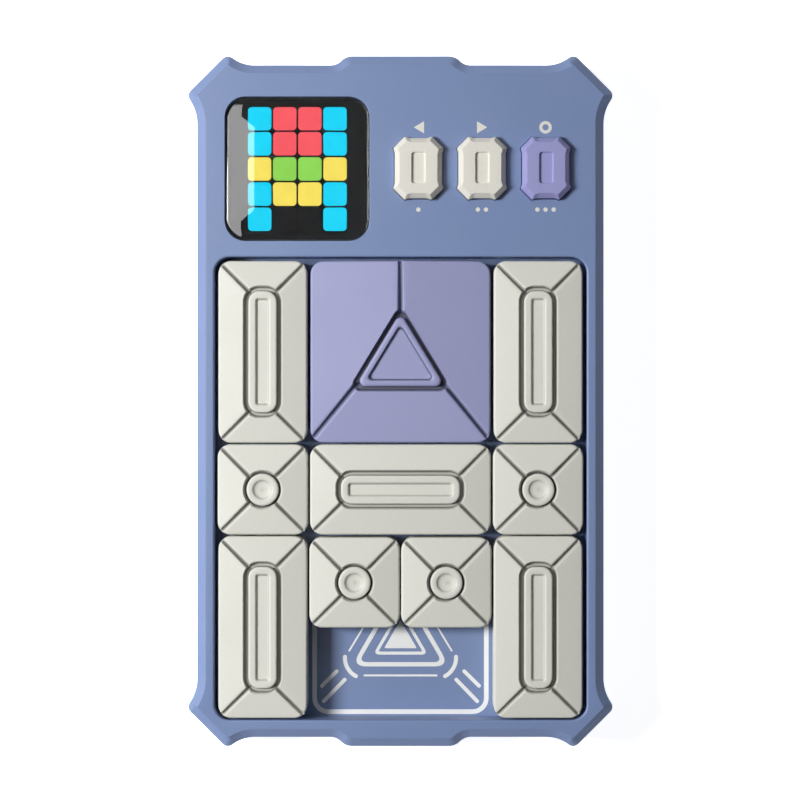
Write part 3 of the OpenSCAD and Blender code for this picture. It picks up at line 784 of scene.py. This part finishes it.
# %% Pill and disc caps
GROOVE_HALF = (0.8, 0.7)
GROOVE_DEEP = (1.15, 0.75)
DISC_R = 3.95
PILL_W = 7.0
PILL_R = 2.7
SLOT_W = 3.7
SLOT_R = 0.9
DISC_MOAT = 0.95
PILL_MOAT = 1.4
MOAT_DEPTH = 1.4


def disc_profile():
    """Ring radius, height below the raised centre's top and painted-shade mark for a disc."""
    dimple = [(0.3, -0.58, 0.0), (0.8, -0.58, 0.0), (1.4, -0.55, 0.0), (1.9, -0.47, 0.05),
              (2.15, -0.36, 0.25), (2.35, -0.18, 0.16), (2.52, -0.05, 0.0), (2.7, 0.0, 0.0)]
    edge = DISC_R
    return dimple + [(edge - 0.5, 0.0, 0.0), (edge - 0.22, -0.03, 0.0), (edge - 0.05, -0.16, 0.05),
                     (edge, -0.3, 0.3), (edge + 0.04, -0.9, 1.0), (edge + 0.1, -MOAT_DEPTH, 1.0),
                     (edge + 0.34, -MOAT_DEPTH, 1.0), (edge + 0.46, -0.95, 0.75),
                     (edge + 0.62, -0.6, 0.28), (edge + 0.8, -0.42, 0.1)]


def pill_profile():
    """The same for a pill: the first rings grow from the slot, the others from its edge."""
    slot = [(-0.8, -0.66, 0.0), (-0.62, -0.64, 0.1), (-0.52, -0.56, 0.35), (-0.36, -0.38, 0.35),
            (-0.14, -0.12, 0.05), (0.0, -0.03, 0.0), (0.16, 0.0, 0.0)]
    edge = [(-0.45, 0.0, 0.0), (-0.2, -0.04, 0.0), (-0.05, -0.16, 0.05), (0.0, -0.3, 0.3),
            (0.05, -0.9, 0.9), (0.14, -MOAT_DEPTH, 0.85), (0.3, -MOAT_DEPTH, 0.5),
            (0.62, -MOAT_DEPTH, 0.42), (0.86, -1.25, 0.8), (0.98, -0.95, 0.95),
            (1.1, -0.68, 0.5), (1.25, -0.5, 0.1)]
    return slot, edge


def pill_cap(name, w, l):
    """A cap with its centre at the origin, standing upright."""
    disc = l - w < 1
    top = rim_z + ROOF_SLOPE * (w / 2 - PILL_W / 2)
    pill_l = PILL_W + l - w

    def pill(grow):
        return rounded_box((PILL_W, pill_l), PILL_R, grow, steps=16)

    def slot(grow):
        return rounded_box((SLOT_W, pill_l - PILL_W + SLOT_W), SLOT_R, grow, steps=16, least=0.15)
    if disc:
        bands = [(circle(0, 0, r, 90), dz, mark, r > DISC_R) for r, dz, mark in disc_profile()]
        moat_path = circle(0, 0, DISC_R + DISC_MOAT, 90)
        reach = (DISC_R * math.sqrt(0.5),) * 2
    else:
        slot_part, edge_part = pill_profile()
        bands = [(slot(g), dz, mark, False) for g, dz, mark in slot_part]
        bands += [(pill(g), dz, mark, g > 0) for g, dz, mark in edge_part]
        moat_path = pill(PILL_MOAT)
        reach = (PILL_W / 2 - 0.3, pill_l / 2 - 0.3)
    signs = ((1, 1), (-1, 1), (-1, -1), (1, -1))
    near = [(sx * reach[0] * 1.3, sy * (reach[1] + reach[0] * 0.3)) for sx, sy in signs]
    far = [(sx * w / 2, sy * l / 2) for sx, sy in signs]
    share = groove_share(4, BETWEEN)
    moat_edge = stations(moat_path, near, GROOVE_HALF[0], BETWEEN)
    lip = facet_height(moat_edge, w, l)
    rings, marks = [], []
    for path, dz, mark, in_moat in bands:
        points = stations(path, near, GROOVE_HALF[0] if in_moat else PLAIN_HALF, BETWEEN)
        z = np.full(len(points), top + dz)
        if in_moat:
            z = np.minimum(z, lip - share * GROOVE_DEEP[0])
            # grooves that run into the moat carry their painted shade into it
            mark = np.maximum(mark, share ** PAINTED_SHADE_FALL)
        rings.append(at_height(points, z))
        marks.append(mark)
    outer, outer_marks = facet_rings((w, l), moat_edge, far, GROOVE_HALF[1], GROOVE_DEEP,
                                     lambda points: facet_height(points, w, l),
                                     lambda points, inset: rim_z + ROOF_SLOPE * inset)
    return cap_mesh(name, rings + outer, marks + outer_marks, TILE_CREAM)


def put_cap(shape, node, body, turn=0.0):
    """A copy of a cap's mesh, turned and moved to its tile."""
    mesh = shape.copy()
    mesh.name = node
    x, y = middle_mm(node)[:2]
    mesh.transform(Matrix.Translation((x * MM, y * MM, 0)) @ Matrix.Rotation(turn, 4, "Z"))
    place_piece(mesh, f"{body}_top", body, [node])


small_w, small_l = size_mm("small_tile_1_cap")[:2]
tall_w, tall_l = size_mm("tall_tile_1_cap")[:2]
bar_w, bar_l = size_mm("bar_tile_cap")[:2]
small_shape = pill_cap("small_cap", small_w, small_l)
tall_shape = pill_cap("tall_cap", tall_w, tall_l)
bar_shape = pill_cap("bar_cap", bar_l, bar_w)
for number in range(1, 5):
    put_cap(small_shape, f"small_tile_{number}_cap", f"small_tile_{number}")
    put_cap(tall_shape, f"tall_tile_{number}_cap", f"tall_tile_{number}")
put_cap(bar_shape, "bar_tile_cap", "bar_tile", math.pi / 2)

# %% [markdown]
# ### The large tile
#
# The king tile has three facets and a raised triangle that points to the display, with a
# sunk triangle inside it. The rings run from the sunk triangle outwards to the raised one,
# down into the moat, up to the facets and out to the rim. Grooves leave the three corners of
# the triangle, so there are three bunches of groove stations.

# %% King cap
KING_SLOPE = 0.08
KING_RISE = 1.3
KING_BETWEEN = 34
SUNK = (7.0, -7.1, 8.6, 0.9)
RAISED = (9.7, -8.5, 11.1, 1.4)
MOAT = (12.1, -9.8, 13.3, 1.9)
KING_GROOVE_HALF = (1.0, 0.85)
KING_DEEP = (1.3, 0.9)
KING_MEET = (10.6, 8.9)
KING_FAR = (21.9, -21.2)
# each ring of KING_DISH and KING_EDGE: how far it lies from one triangle to the next, its height
# below the flat top, and its painted-shade mark
KING_DISH = ((-0.5, -0.85, 0.0), (-0.3, -0.83, 0.3), (-0.2, -0.7, 0.9), (-0.1, -0.4, 0.8),
             (0.0, -0.14, 0.1), (0.07, -0.04, 0.0), (0.2, 0.0, 0.0))
KING_EDGE = ((-0.5, 0.0, 0.0), (-0.28, -0.05, 0.0), (-0.1, -0.2, 0.0), (0.0, -0.4, 0.1),
             (0.04, -0.9, 0.9), (0.08, -1.5, 1.0), (0.6, -1.5, 1.0), (0.72, -1.1, 0.9),
             (0.82, -0.8, 0.4))


def triangle_path(tip, base, half, r):
    """A triangle that points up, with round corners, counter-clockwise from the right."""
    corners = [(half, base), (0.0, tip), (-half, base)]
    points = []
    for before, here, after in zip(corners[-1:] + corners[:-1], corners,
                                   corners[1:] + corners[:1]):
        p = Vector(here)
        u, v = (Vector(before) - p).normalized(), (Vector(after) - p).normalized()
        bend = u.angle(v) / 2
        centre = p + (u + v).normalized() * r / math.sin(bend)
        start = p + u * r / math.tan(bend) - centre
        sweep = math.pi - 2 * bend
        for t in np.linspace(0, sweep, 17):
            turned = Matrix.Rotation(t, 2) @ start
            points.append(tuple(centre + turned))
    return points


def between_triangles(a, b, t):
    """A triangle part of the way from one to another."""
    return tuple(p * (1 - t) + q * t for p, q in zip(a, b))


def king_facets(points, section, w, l):
    """Height of the facet each station belongs to: right, left or bottom."""
    side = rim_z + KING_SLOPE * (w / 2 - np.abs(points[:, 0]))
    bottom_slope = KING_SLOPE * (w / 2 - KING_MEET[0]) / (l / 2 - KING_MEET[1])
    bottom = rim_z + bottom_slope * (l / 2 + points[:, 1])
    return np.where(section == 2, bottom, side)


def king_cap():
    """The purple cap with its centre at the origin."""
    w, l = size_mm("king_tile_cap")[:2]
    flat = rim_z + KING_RISE
    share = groove_share(3, KING_BETWEEN)
    block = len(GROOVE_ACROSS) + KING_BETWEEN
    section = np.repeat([0, 1, 2], block)
    lips = np.arange(3 * block) % block
    # the near lip of a groove belongs to the facet before it: right, left or bottom
    facet = np.where(lips < len(GROOVE_ACROSS) // 2, (section - 1) % 3, section)
    far = [KING_FAR, (0.0, l / 2), (-KING_FAR[0], KING_FAR[1])]

    def triangle_ring(shape, half):
        near = [(shape[2], shape[1]), (0.0, shape[0]), (-shape[2], shape[1])]
        return stations(triangle_path(*shape), near, half, KING_BETWEEN)

    inner = triangle_ring(MOAT, KING_GROOVE_HALF[0])
    lip = king_facets(inner, facet, w, l)
    rings, marks = [], []
    for t, dz, mark in KING_DISH:
        points = triangle_ring(between_triangles(SUNK, RAISED, t), 0.04)
        rings.append(at_height(points, flat + dz))
        marks.append(mark)
    for t, dz, mark in KING_EDGE:
        half = KING_GROOVE_HALF[0] if t > 0 else 0.05
        points = triangle_ring(between_triangles(RAISED, MOAT, t), half)
        z = np.full(len(points), flat + dz)
        if t > 0:
            z = np.minimum(z, lip - 0.2 - share * KING_DEEP[0])
            # grooves that run into the moat carry their painted shade into it
            mark = np.maximum(mark, share ** PAINTED_SHADE_FALL)
        rings.append(at_height(points, z))
        marks.append(mark)
    # the two upper facets end on a sloping edge along the top side
    outer, outer_marks = facet_rings((w, l), inner, far, KING_GROOVE_HALF[1], KING_DEEP,
                                     lambda points: king_facets(points, facet, w, l),
                                     lambda points, inset: king_facets(points, facet, w, l))
    return cap_mesh("king_cap", rings + outer, marks + outer_marks, TILE_PURPLE)


put_cap(king_cap(), "king_tile_cap", "king_tile")

# %% [markdown]
# ## The push buttons
#
# Each button is a block with cut corners and a wide bevel, and a rounded slot sunk in its
# top. Under the face it widens into a flange that keeps it in the case. The same outline
# function draws the button and the opening it moves in, so the gap is even all round.
#
# Only the outside is modelled. The block is solid down to the underside of its flange, where
# the working model is hollow round a plunger and a switch, so inside the case the block
# runs through them. A finer model would hollow it out.

# %% Buttons
BUTTON_BEVEL = 1.2
BUTTON_SLOT = (3.3, 7.6, 0.65)
SLOT_DEPTH = 0.6
BUTTON_EDGE = 0.12
button_top = box_mm("button_left")[1][2]
button_low = box_mm("button_left")[0][2]


def push_button(node, at, material):
    """One button, solid inside: bevel, slot and flange, and a small disc in its foot."""
    bm = bmesh.new()
    edge = BUTTON_EDGE
    shelf = face_z - WALL - 0.1
    sides = [(FLANGE_W, shelf - 1.2), (FLANGE_W, shelf - 0.1), (FLANGE_W - 0.1, shelf),
             (0.0, shelf), (0.0, button_top - BUTTON_BEVEL - edge),
             (-0.03, button_top - BUTTON_BEVEL - 0.02),
             (-edge, button_top - BUTTON_BEVEL + edge),
             (-BUTTON_BEVEL + edge, button_top - edge),
             (-BUTTON_BEVEL + 0.03, button_top - 0.02), (-BUTTON_BEVEL - edge, button_top)]
    loft(bm, [at_height(button_outline(at, grow), z) for grow, z in sides])
    slot_w, slot_l, slot_r = BUTTON_SLOT

    def slot_ring(grow):
        return rounded_box((slot_w, slot_l), slot_r, grow, at, 10)
    rings = [at_height(slot_ring(step), button_top - drop) for step, drop in fillet(0.18)]
    rings += [at_height(slot_ring(0.0), button_top - SLOT_DEPTH + 0.15),
              at_height(slot_ring(-0.04), button_top - SLOT_DEPTH + 0.04),
              at_height(slot_ring(-0.15), button_top - SLOT_DEPTH)]
    close_ring(bm, loft(bm, rings)[1])
    fill_level(bm, button_top, 1)
    fill_level(bm, shelf - 1.2, -1)

    # these rings lie within the block, so they add nothing that can be seen
    disc = ((2.2, shelf - 1.1), (2.2, button_low + 0.2), (2.0, button_low))
    solid_loft(bm, [at_height(circle(*at, r), z) for r, z in disc])
    mesh = finish_mesh(bm, node, material)
    place_piece(mesh, f"{node}_cap", f"{node}_body", [node])


for node, at in zip(buttons, button_at):
    purple = node == "button_right"
    push_button(node, at, BUTTON_PURPLE if purple else BUTTON_CREAM)

# %% [markdown]
# ## The lit display
#
# Behind a slightly domed clear window sits a black light box with twenty cells. Each lit
# cell glows in one colour, and the glow is a little uneven, as it is through milky plastic.
# Cells of one colour are one piece, so the finish can be changed for each colour. A black
# frame round the cells hides the boards beside them.

# %% Lit cells
WINDOW_PITCH = 6.19
WINDOW_W = 5.77
WINDOW_R = 0.95
WINDOW_T = 0.8
CELL_GLOW = 1.62
PATTERN = ("crrc", "crrc", "yggy", "cyyc", "cooc")
CELL_COLOURS = {
    "cyan": (0.0, 0.70, 1.0), "red": (1.0, 0.102, 0.127),
    "yellow": (1.0, 0.79, 0.115), "green": (0.283, 0.70, 0.091),
}
grid_top = box_mm("display_grid")[1][2]


def glowing(name, colour):
    """A lit cell whose glow wanders a little between two tones."""
    mat, tree, shader = start_material(name)
    set_inputs(shader, {"Roughness": 0.5, "Emission Strength": CELL_GLOW})
    soft = noise(tree, object_space(tree), 2, 300.0)
    share = spread(tree, soft.outputs[0], 0.3, 0.7, 0, 1)
    for label, light, dark in (("Emission Color", 1.0, 0.93), ("Base Color", 0.10, 0.06)):
        tone = mixed(tree, share, rgba(darker(colour, light)), rgba(darker(colour, dark)))
        tree.links.new(tone, shader.inputs[label])
    return mat


def window_at(column, row):
    """Middle of one cell of the display."""
    return (lens_at[0] + (column - 1.5) * WINDOW_PITCH, lens_at[1] - (row - 2) * WINDOW_PITCH)


def lit_cells(colour, letter, material):
    """All the cells of one colour as one piece."""
    bm = bmesh.new()
    for row, line in enumerate(PATTERN):
        for column, mark in enumerate(line):
            if mark != letter:
                continue
            at = window_at(column, row)
            steps = ((0.0, grid_top - WINDOW_T), (0.0, grid_top - 0.1), (0.1, grid_top))
            solid_loft(bm, [at_height(rounded_box((WINDOW_W, WINDOW_W), WINDOW_R, -inset, at, 5), z)
                            for inset, z in steps])
    mesh = finish_mesh(bm, f"cells_{colour}", material)
    place_piece(mesh, f"display_cells_{colour}", "housing", ["display_windows"])


for colour in CELL_COLOURS:
    lit_cells(colour, colour[0], glowing(f"cell_{colour}", CELL_COLOURS[colour]))
lit_cells("off", "o", CELL_OFF)

# %% Lens
LENS_RISE = 1.2
LENS_BALL = 200.0
LENS_EDGE = 0.45
LENS_INSETS = (16.5, 13.0, 9.5, 6.5, 4.0, 2.2, 1.2, 0.7)
SEAT_REACH = LENS_FLANGE + LENS_GAP / 2
SEAT_R = 2.65


def make_clear_plastic():
    """Smoked polished plastic; the faint waviness is what a moulded window has."""
    mat, tree, shader = start_material("lens_clear")
    set_inputs(shader, {"Base Color": (0.62, 0.63, 0.63, 1), "Transmission Weight": 1.0,
                        "IOR": 1.5, "Specular IOR Level": 0.75})
    place = object_space(tree)
    smudge = noise(tree, place, 3, 70.0)
    wave = noise(tree, place, 1, 120.0)
    tree.links.new(spread(tree, smudge.outputs[0], 0.3, 0.7, 0.0, 0.03),
                   shader.inputs["Roughness"])
    add_bump(tree, shader, wave.outputs[0], 0.01, 0.1)
    return mat


def lens_outline(inset):
    """Outline of the part of the lens that shows."""
    return rounded_box(lens_opening - LENS_GAP, LENS_R - LENS_GAP / 2, -inset, lens_at, 14,
                       least=0.4)


def crown(points):
    """Height of the domed top over each point."""
    flat = np.array(points) - lens_at
    away = np.minimum(np.hypot(*flat.T), LENS_BALL * 0.5)
    return face_z + LENS_RISE - LENS_BALL + np.sqrt(LENS_BALL ** 2 - away ** 2)


def display_lens():
    """The domed clear window: crowned top, rounded edge, flat underside."""
    bm = bmesh.new()
    rings = []
    for inset in LENS_INSETS:
        points = lens_outline(inset)
        rings.append(at_height(points, crown(points)))
    for inset, drop in fillet(LENS_EDGE):
        points = lens_outline(inset)
        rings.append(at_height(points, crown(points) - drop))
    rings.append(at_height(lens_outline(0.0), grid_top + 0.1))
    solid_loft(bm, rings)
    mesh = finish_mesh(bm, "lens", make_clear_plastic(), math.radians(40))
    place_piece(mesh, "display_window", "housing", ["display_lens"],
                       flat=False)


def lens_seat():
    """The black second shot of the window: a frame that hides the boards beside the cells."""
    bm = bmesh.new()
    low = face_z - WALL
    seat_top = grid_top + 0.08
    inside = rounded_box(size_mm("display_grid")[:2] + 0.1, SEAT_R, 0.0, lens_at, 14)
    rim, skirt = lens_outline(0.04), lens_outline(-SEAT_REACH)
    steps = ((inside, low - 1.0), (inside, seat_top), (rim, seat_top), (rim, low),
             (skirt, low), (skirt, low - 1.0), (inside, low - 1.0))
    loft(bm, [at_height(path, z) for path, z in steps])
    mesh = finish_mesh(bm, "lens_seat", GRID_BLACK)
    place_piece(mesh, "display_frame", "housing", ["display_lens"])


display_lens()
lens_seat()

# %% [markdown]
# ## Printed marks
#
# The marks are pad printed: a thin even film of ink on the moulding. A film a few hundredths
# of a millimetre thick is enough to catch the light differently from the plastic. The case
# has arrows and a ring over the buttons, and dots under them that count the buttons one, two,
# three. The tray floor shows where the large tile has to end up.

# %% Printing helpers
INK = 0.03


def ink_shape(bm, outline, z, hole=None):
    """One printed shape: an outline, with a hole if one is given, a film thick."""
    start_ring(bm, at_height(outline, z))
    if hole is not None:
        start_ring(bm, at_height(hole, z))
    loose = [e for e in bm.edges if not e.link_faces]
    faces = bmesh.ops.triangle_fill(bm, edges=loose, use_beauty=True, normal=(0, 0, 1))["geom"]
    faces = [f for f in faces if isinstance(f, bmesh.types.BMFace)]
    grown = bmesh.ops.extrude_face_region(bm, geom=faces)["geom"]
    bmesh.ops.translate(bm, vec=(0, 0, INK),
                        verts=[g for g in grown if isinstance(g, bmesh.types.BMVert)])


def capsule(spine, thick):
    """A printed line of even width with round ends, along a run of points."""
    line = np.array(spine, float)
    along = np.gradient(line, axis=0)
    along /= np.hypot(*along.T)[:, None]
    side = np.column_stack([along[:, 1], -along[:, 0]]) * thick / 2
    start = math.degrees(math.atan2(*along[0][::-1]))
    end = math.degrees(math.atan2(*along[-1][::-1]))
    right = [tuple(p) for p in line + side]
    left = [tuple(p) for p in (line - side)[::-1]]
    nose = arc(*line[-1], thick / 2, end - 90, end + 90, 8)[1:-1]
    tail = arc(*line[0], thick / 2, start + 90, start + 270, 8)[1:-1]
    return right + nose + left + tail


# %% Marks on the case
PRINT_CREAM = moulded("print_cream", (0.78, 0.77, 0.71), 0.45, 0.55, grain=6000.0)
ARROW_W, ARROW_H = 2.55, 3.0
MARK_RISE = 10.2
DOT_DROP = 10.1
DOT_R = 0.55
DOT_STEP = 2.0
RING_R, RING_HOLE_R = 1.55, 0.76


def arrow(at, point_left):
    """A small solid triangle."""
    side = -1 if point_left else 1
    tip = (at[0] + side * ARROW_W / 2, at[1])
    back = at[0] - side * ARROW_W / 2
    corners = [(back, at[1] - ARROW_H / 2), tip, (back, at[1] + ARROW_H / 2)]
    return soften(corners if side > 0 else corners[::-1], 0.12, 2)


def case_marks():
    """Arrows, ring and counting dots."""
    bm = bmesh.new()
    z = face_z
    left, middle, right = [tuple(p) for p in button_at]
    ink_shape(bm, arrow((left[0] + 0.15, left[1] + MARK_RISE), True), z)
    ink_shape(bm, arrow((middle[0] + 0.05, middle[1] + MARK_RISE), False), z)
    ring_at = (right[0], right[1] + MARK_RISE)
    ink_shape(bm, circle(*ring_at, RING_R, 36), z, circle(*ring_at, RING_HOLE_R, 36))
    for count, (x, y) in enumerate((left, middle, right), start=1):
        for k in range(count):
            dot_x = x + (k - (count - 1) / 2) * DOT_STEP
            ink_shape(bm, circle(dot_x, y - DOT_DROP, DOT_R), z)
    mesh = finish_mesh(bm, "case_marks", PRINT_CREAM)
    place_piece(mesh, "case_print", "housing", flat=False)


case_marks()

# %% Marks on the tray floor
EXIT_HALF = 22.05
EXIT_LOW, EXIT_TOP = -78.25, -38.0
FRAME_LINE = 1.17
FRAME_R = 4.0
EXIT_SLOPE = 1.72
# base height, half width and corner radius of each triangle, with its hole where it has one
EXIT_ARROWS = (((-61.8, 3.92, 0.25), None), ((-63.4, 6.1, 1.0), (-62.63, 5.3, 0.3)),
               ((-66.35, 10.6, 2.2), (-65.27, 9.5, 1.2)))
EXIT_BASE = ((-9.0, -68.6), (9.0, -68.6))
EXIT_SIDE = ((-9.3, -56.6), (-12.8, -62.4))
EXIT_CORNER = ((-8.7, -64.2), 5.2, (177, 242))
CORNER_BARS = (((-15.95, -67.55), (-19.65, -71.2)), ((-13.95, -69.65), (-19.2, -75.05)))


def exit_triangle(base_y, half, r):
    """A triangle of the exit mark that points up; half is its visible half width."""
    full = half + 0.78 * r
    points = [(full, base_y), (0.0, base_y + full * EXIT_SLOPE), (-full, base_y)]
    return soften(points, r * 1.75, 7)


def tray_marks():
    """The frame, the nested triangles and the corner bars of the exit."""
    bm = bmesh.new()
    z = floor_z
    middle = (0.0, (EXIT_LOW + EXIT_TOP) / 2)
    size = (2 * EXIT_HALF, EXIT_TOP - EXIT_LOW)
    ink_shape(bm, rounded_box(size, FRAME_R, 0.0, middle), z,
              rounded_box(size, FRAME_R, -FRAME_LINE, middle))
    for solid, hole in EXIT_ARROWS:
        ink_shape(bm, exit_triangle(*solid), z, exit_triangle(*hole) if hole else None)
    ink_shape(bm, capsule(EXIT_BASE, 0.5), z)
    (cx, cy), radius, sweep = EXIT_CORNER
    lines = [(EXIT_SIDE, 0.45), (arc(cx, cy, radius, *sweep, 12), 1.0)]
    lines += [(bar, 0.95) for bar in CORNER_BARS]
    for spine, thick in lines:
        outline = capsule(spine, thick)
        ink_shape(bm, outline, z)
        ink_shape(bm, mirrored(outline, -1, 1), z)
    mesh = finish_mesh(bm, "tray_marks", PRINT_WHITE)
    place_piece(mesh, "tray_print", "housing", flat=False)


tray_marks()

# %% [markdown]
# ## Everything behind the face
#
# The rear shell, boards, batteries and screws are right as solids, so they stay, and only
# their finish changes. The battery sleeves have a printed band at one end, the boards have
# copper tracks under green lacquer, and the springs and screws are plated steel.

# %% Printed battery sleeve and circuit board
def make_battery_sleeve(middle_x, length):
    """A dark sleeve with a copper band at the end that carries the button contact."""
    mat, tree, shader = start_material("battery_sleeve")
    place = object_space(tree)
    split = tree.nodes.new("ShaderNodeSeparateXYZ")
    ramp = tree.nodes.new("ShaderNodeValToRGB")
    ramp.color_ramp.interpolation = "CONSTANT"
    ramp.color_ramp.elements[0].color = (0.35, 0.15, 0.035, 1)
    ramp.color_ramp.elements[1].position = 0.3
    ramp.color_ramp.elements[1].color = (0.018, 0.018, 0.02, 1)
    last = ramp.color_ramp.elements.new(0.965)
    last.color = (0.45, 0.45, 0.44, 1)
    wear = noise(tree, place, 4, 500.0)
    link_up(tree, (place, split.inputs[0]),
            (spread(tree, split.outputs[0], middle_x - length / 2, middle_x + length / 2, 0, 1),
             ramp.inputs[0]),
            (ramp.outputs[0], shader.inputs["Base Color"]),
            (spread(tree, wear.outputs[0], 0.3, 0.7, 0.22, 0.38), shader.inputs["Roughness"]))
    set_inputs(shader, {"Metallic": 0.4, "Coat Weight": 0.5})
    return mat


def make_tracked_board():
    """Green lacquer over copper tracks, drawn by a brick pattern with thin joints."""
    mat, tree, shader = start_material("tracked_board")
    place = object_space(tree)
    brick = tree.nodes.new("ShaderNodeTexBrick")
    set_inputs(brick, {"Scale": 160.0, "Mortar Size": 0.06,
                       "Color1": (0.014, 0.095, 0.045, 1), "Color2": (0.020, 0.120, 0.055, 1),
                       "Mortar": (0.045, 0.20, 0.085, 1)})
    gloss = noise(tree, place, 2, 200.0)
    link_up(tree, (place, brick.inputs["Vector"]),
            (brick.outputs["Color"], shader.inputs["Base Color"]),
            (spread(tree, gloss.outputs[0], 0.3, 0.7, 0.18, 0.3), shader.inputs["Roughness"]))
    shader.inputs["Coat Weight"].default_value = 0.3
    return mat


BOARD_TRACKED = make_tracked_board()
battery_middle = middle_mm("battery_1") * MM
battery_length = float(size_mm("battery_1")[0]) * MM
BATTERY_SLEEVE = make_battery_sleeve(float(battery_middle[0]), battery_length)

# %% Finish for every solid that stays
NODE_FINISH = {
    "rear_housing": HOUSING_BLUE, "battery_door": HOUSING_BLUE, "tray_floor": TRAY_BLUE,
    "display_grid": GRID_BLACK, "display_leds": LED_WHITE, "main_board": BOARD_TRACKED,
    "sensor_board": BOARD_TRACKED, "main_board_parts": CHIP_BLACK, "hall_sensors": CHIP_BLACK,
    "tact_switches": CHIP_BLACK, "speaker": CHIP_BLACK, "ribbon_cable": CABLE_GREY,
    "battery_terminals": STEEL, "battery_door_screw": STEEL, "housing_screws": STEEL,
    "board_screws": STEEL, "rubber_feet": RUBBER,
}


def finish_for(node):
    """The material of a solid, from its name."""
    if node in NODE_FINISH:
        return NODE_FINISH[node]
    if node.startswith("battery_"):
        return BATTERY_SLEEVE
    if node.startswith("plunger_"):
        return PLUNGER_WHITE
    if "_magnet" in node:
        return NICKEL
    return BASE_GREY


for node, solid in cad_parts.items():
    material = finish_for(node)
    if not solid.material_slots:
        solid.data.materials.append(material)
    for place in solid.material_slots:
        place.material = material
print("solids with a finish", len(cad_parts))

# %% [markdown]
# ## Stage and light
#
# The puzzle lies on a plain white table. A large soft light on the left gives the facets
# their different tones, since each faces it at its own angle. A weak light beyond the
# display and a faint sky fill the shadows, and the table glows a little, which keeps it near
# white as on a product shot. Two cards over the left side show only as the window's
# reflection.

# %% Table
TABLE_HALF = 1.5
TABLE_GLOW = 0.86


def make_table():
    """A large plain white table."""
    bm = bmesh.new()
    bmesh.ops.create_grid(bm, x_segments=1, y_segments=1, size=TABLE_HALF)
    mesh = bpy.data.meshes.new("table")
    bm.to_mesh(mesh)
    bm.free()
    mat, _, shader = start_material("table_white")
    set_inputs(shader, {"Base Color": (0.93, 0.93, 0.93, 1), "Roughness": 0.9,
                        "Specular IOR Level": 0.0, "Emission Color": (1, 1, 1, 1),
                        "Emission Strength": TABLE_GLOW})
    mesh.materials.append(mat)
    table = bpy.data.objects.new("table", mesh)
    bpy.context.scene.collection.objects.link(table)


make_table()

# %% Lights
SKY = 0.07
AIM = (0, 0, 0.02)
# place, width and height, and power of each lamp
LAMPS = {
    "key": ((-0.57, 0.06, 0.58), (0.18, 0.24), 7.35),
    "top_fill": ((0.0, 0.62, 0.55), (0.6, 0.4), 0.5),
}
CARD_Y, CARD_Z, CARD_L = 0.115, 0.64, 0.29
# place across, width and power of each card
CARDS = {"window_card": (-0.32, 0.16, 1.8), "window_edge": (-0.2055, 0.069, 0.45)}


def area_light(name, at, target, size, power):
    """A soft rectangular light that looks at a point."""
    data = bpy.data.lights.new(name, "AREA")
    data.shape = "RECTANGLE"
    data.size, data.size_y = size
    data.energy = power
    lamp = bpy.data.objects.new(name, data)
    lamp.location = at
    lamp.rotation_euler = (Vector(target) - Vector(at)).to_track_quat("-Z", "Y").to_euler()
    bpy.context.scene.collection.objects.link(lamp)
    return lamp


def make_sky():
    """An even white surround."""
    world = bpy.data.worlds.new("studio")
    bpy.context.scene.world = world
    world.use_nodes = True
    back = world.node_tree.nodes["Background"]
    set_inputs(back, {"Color": (1, 1, 1, 1), "Strength": SKY})


make_sky()
for name, (at, size, power) in LAMPS.items():
    area_light(name, at, AIM, size, power)
for name, (x, width, power) in CARDS.items():
    card = area_light(name, (x, CARD_Y, CARD_Z), (x, CARD_Y, 0.0), (width, CARD_L), power)
    # the cards light nothing: they only give the lens something to reflect
    card.visible_diffuse = False
print("lights", len(LAMPS) + len(CARDS))
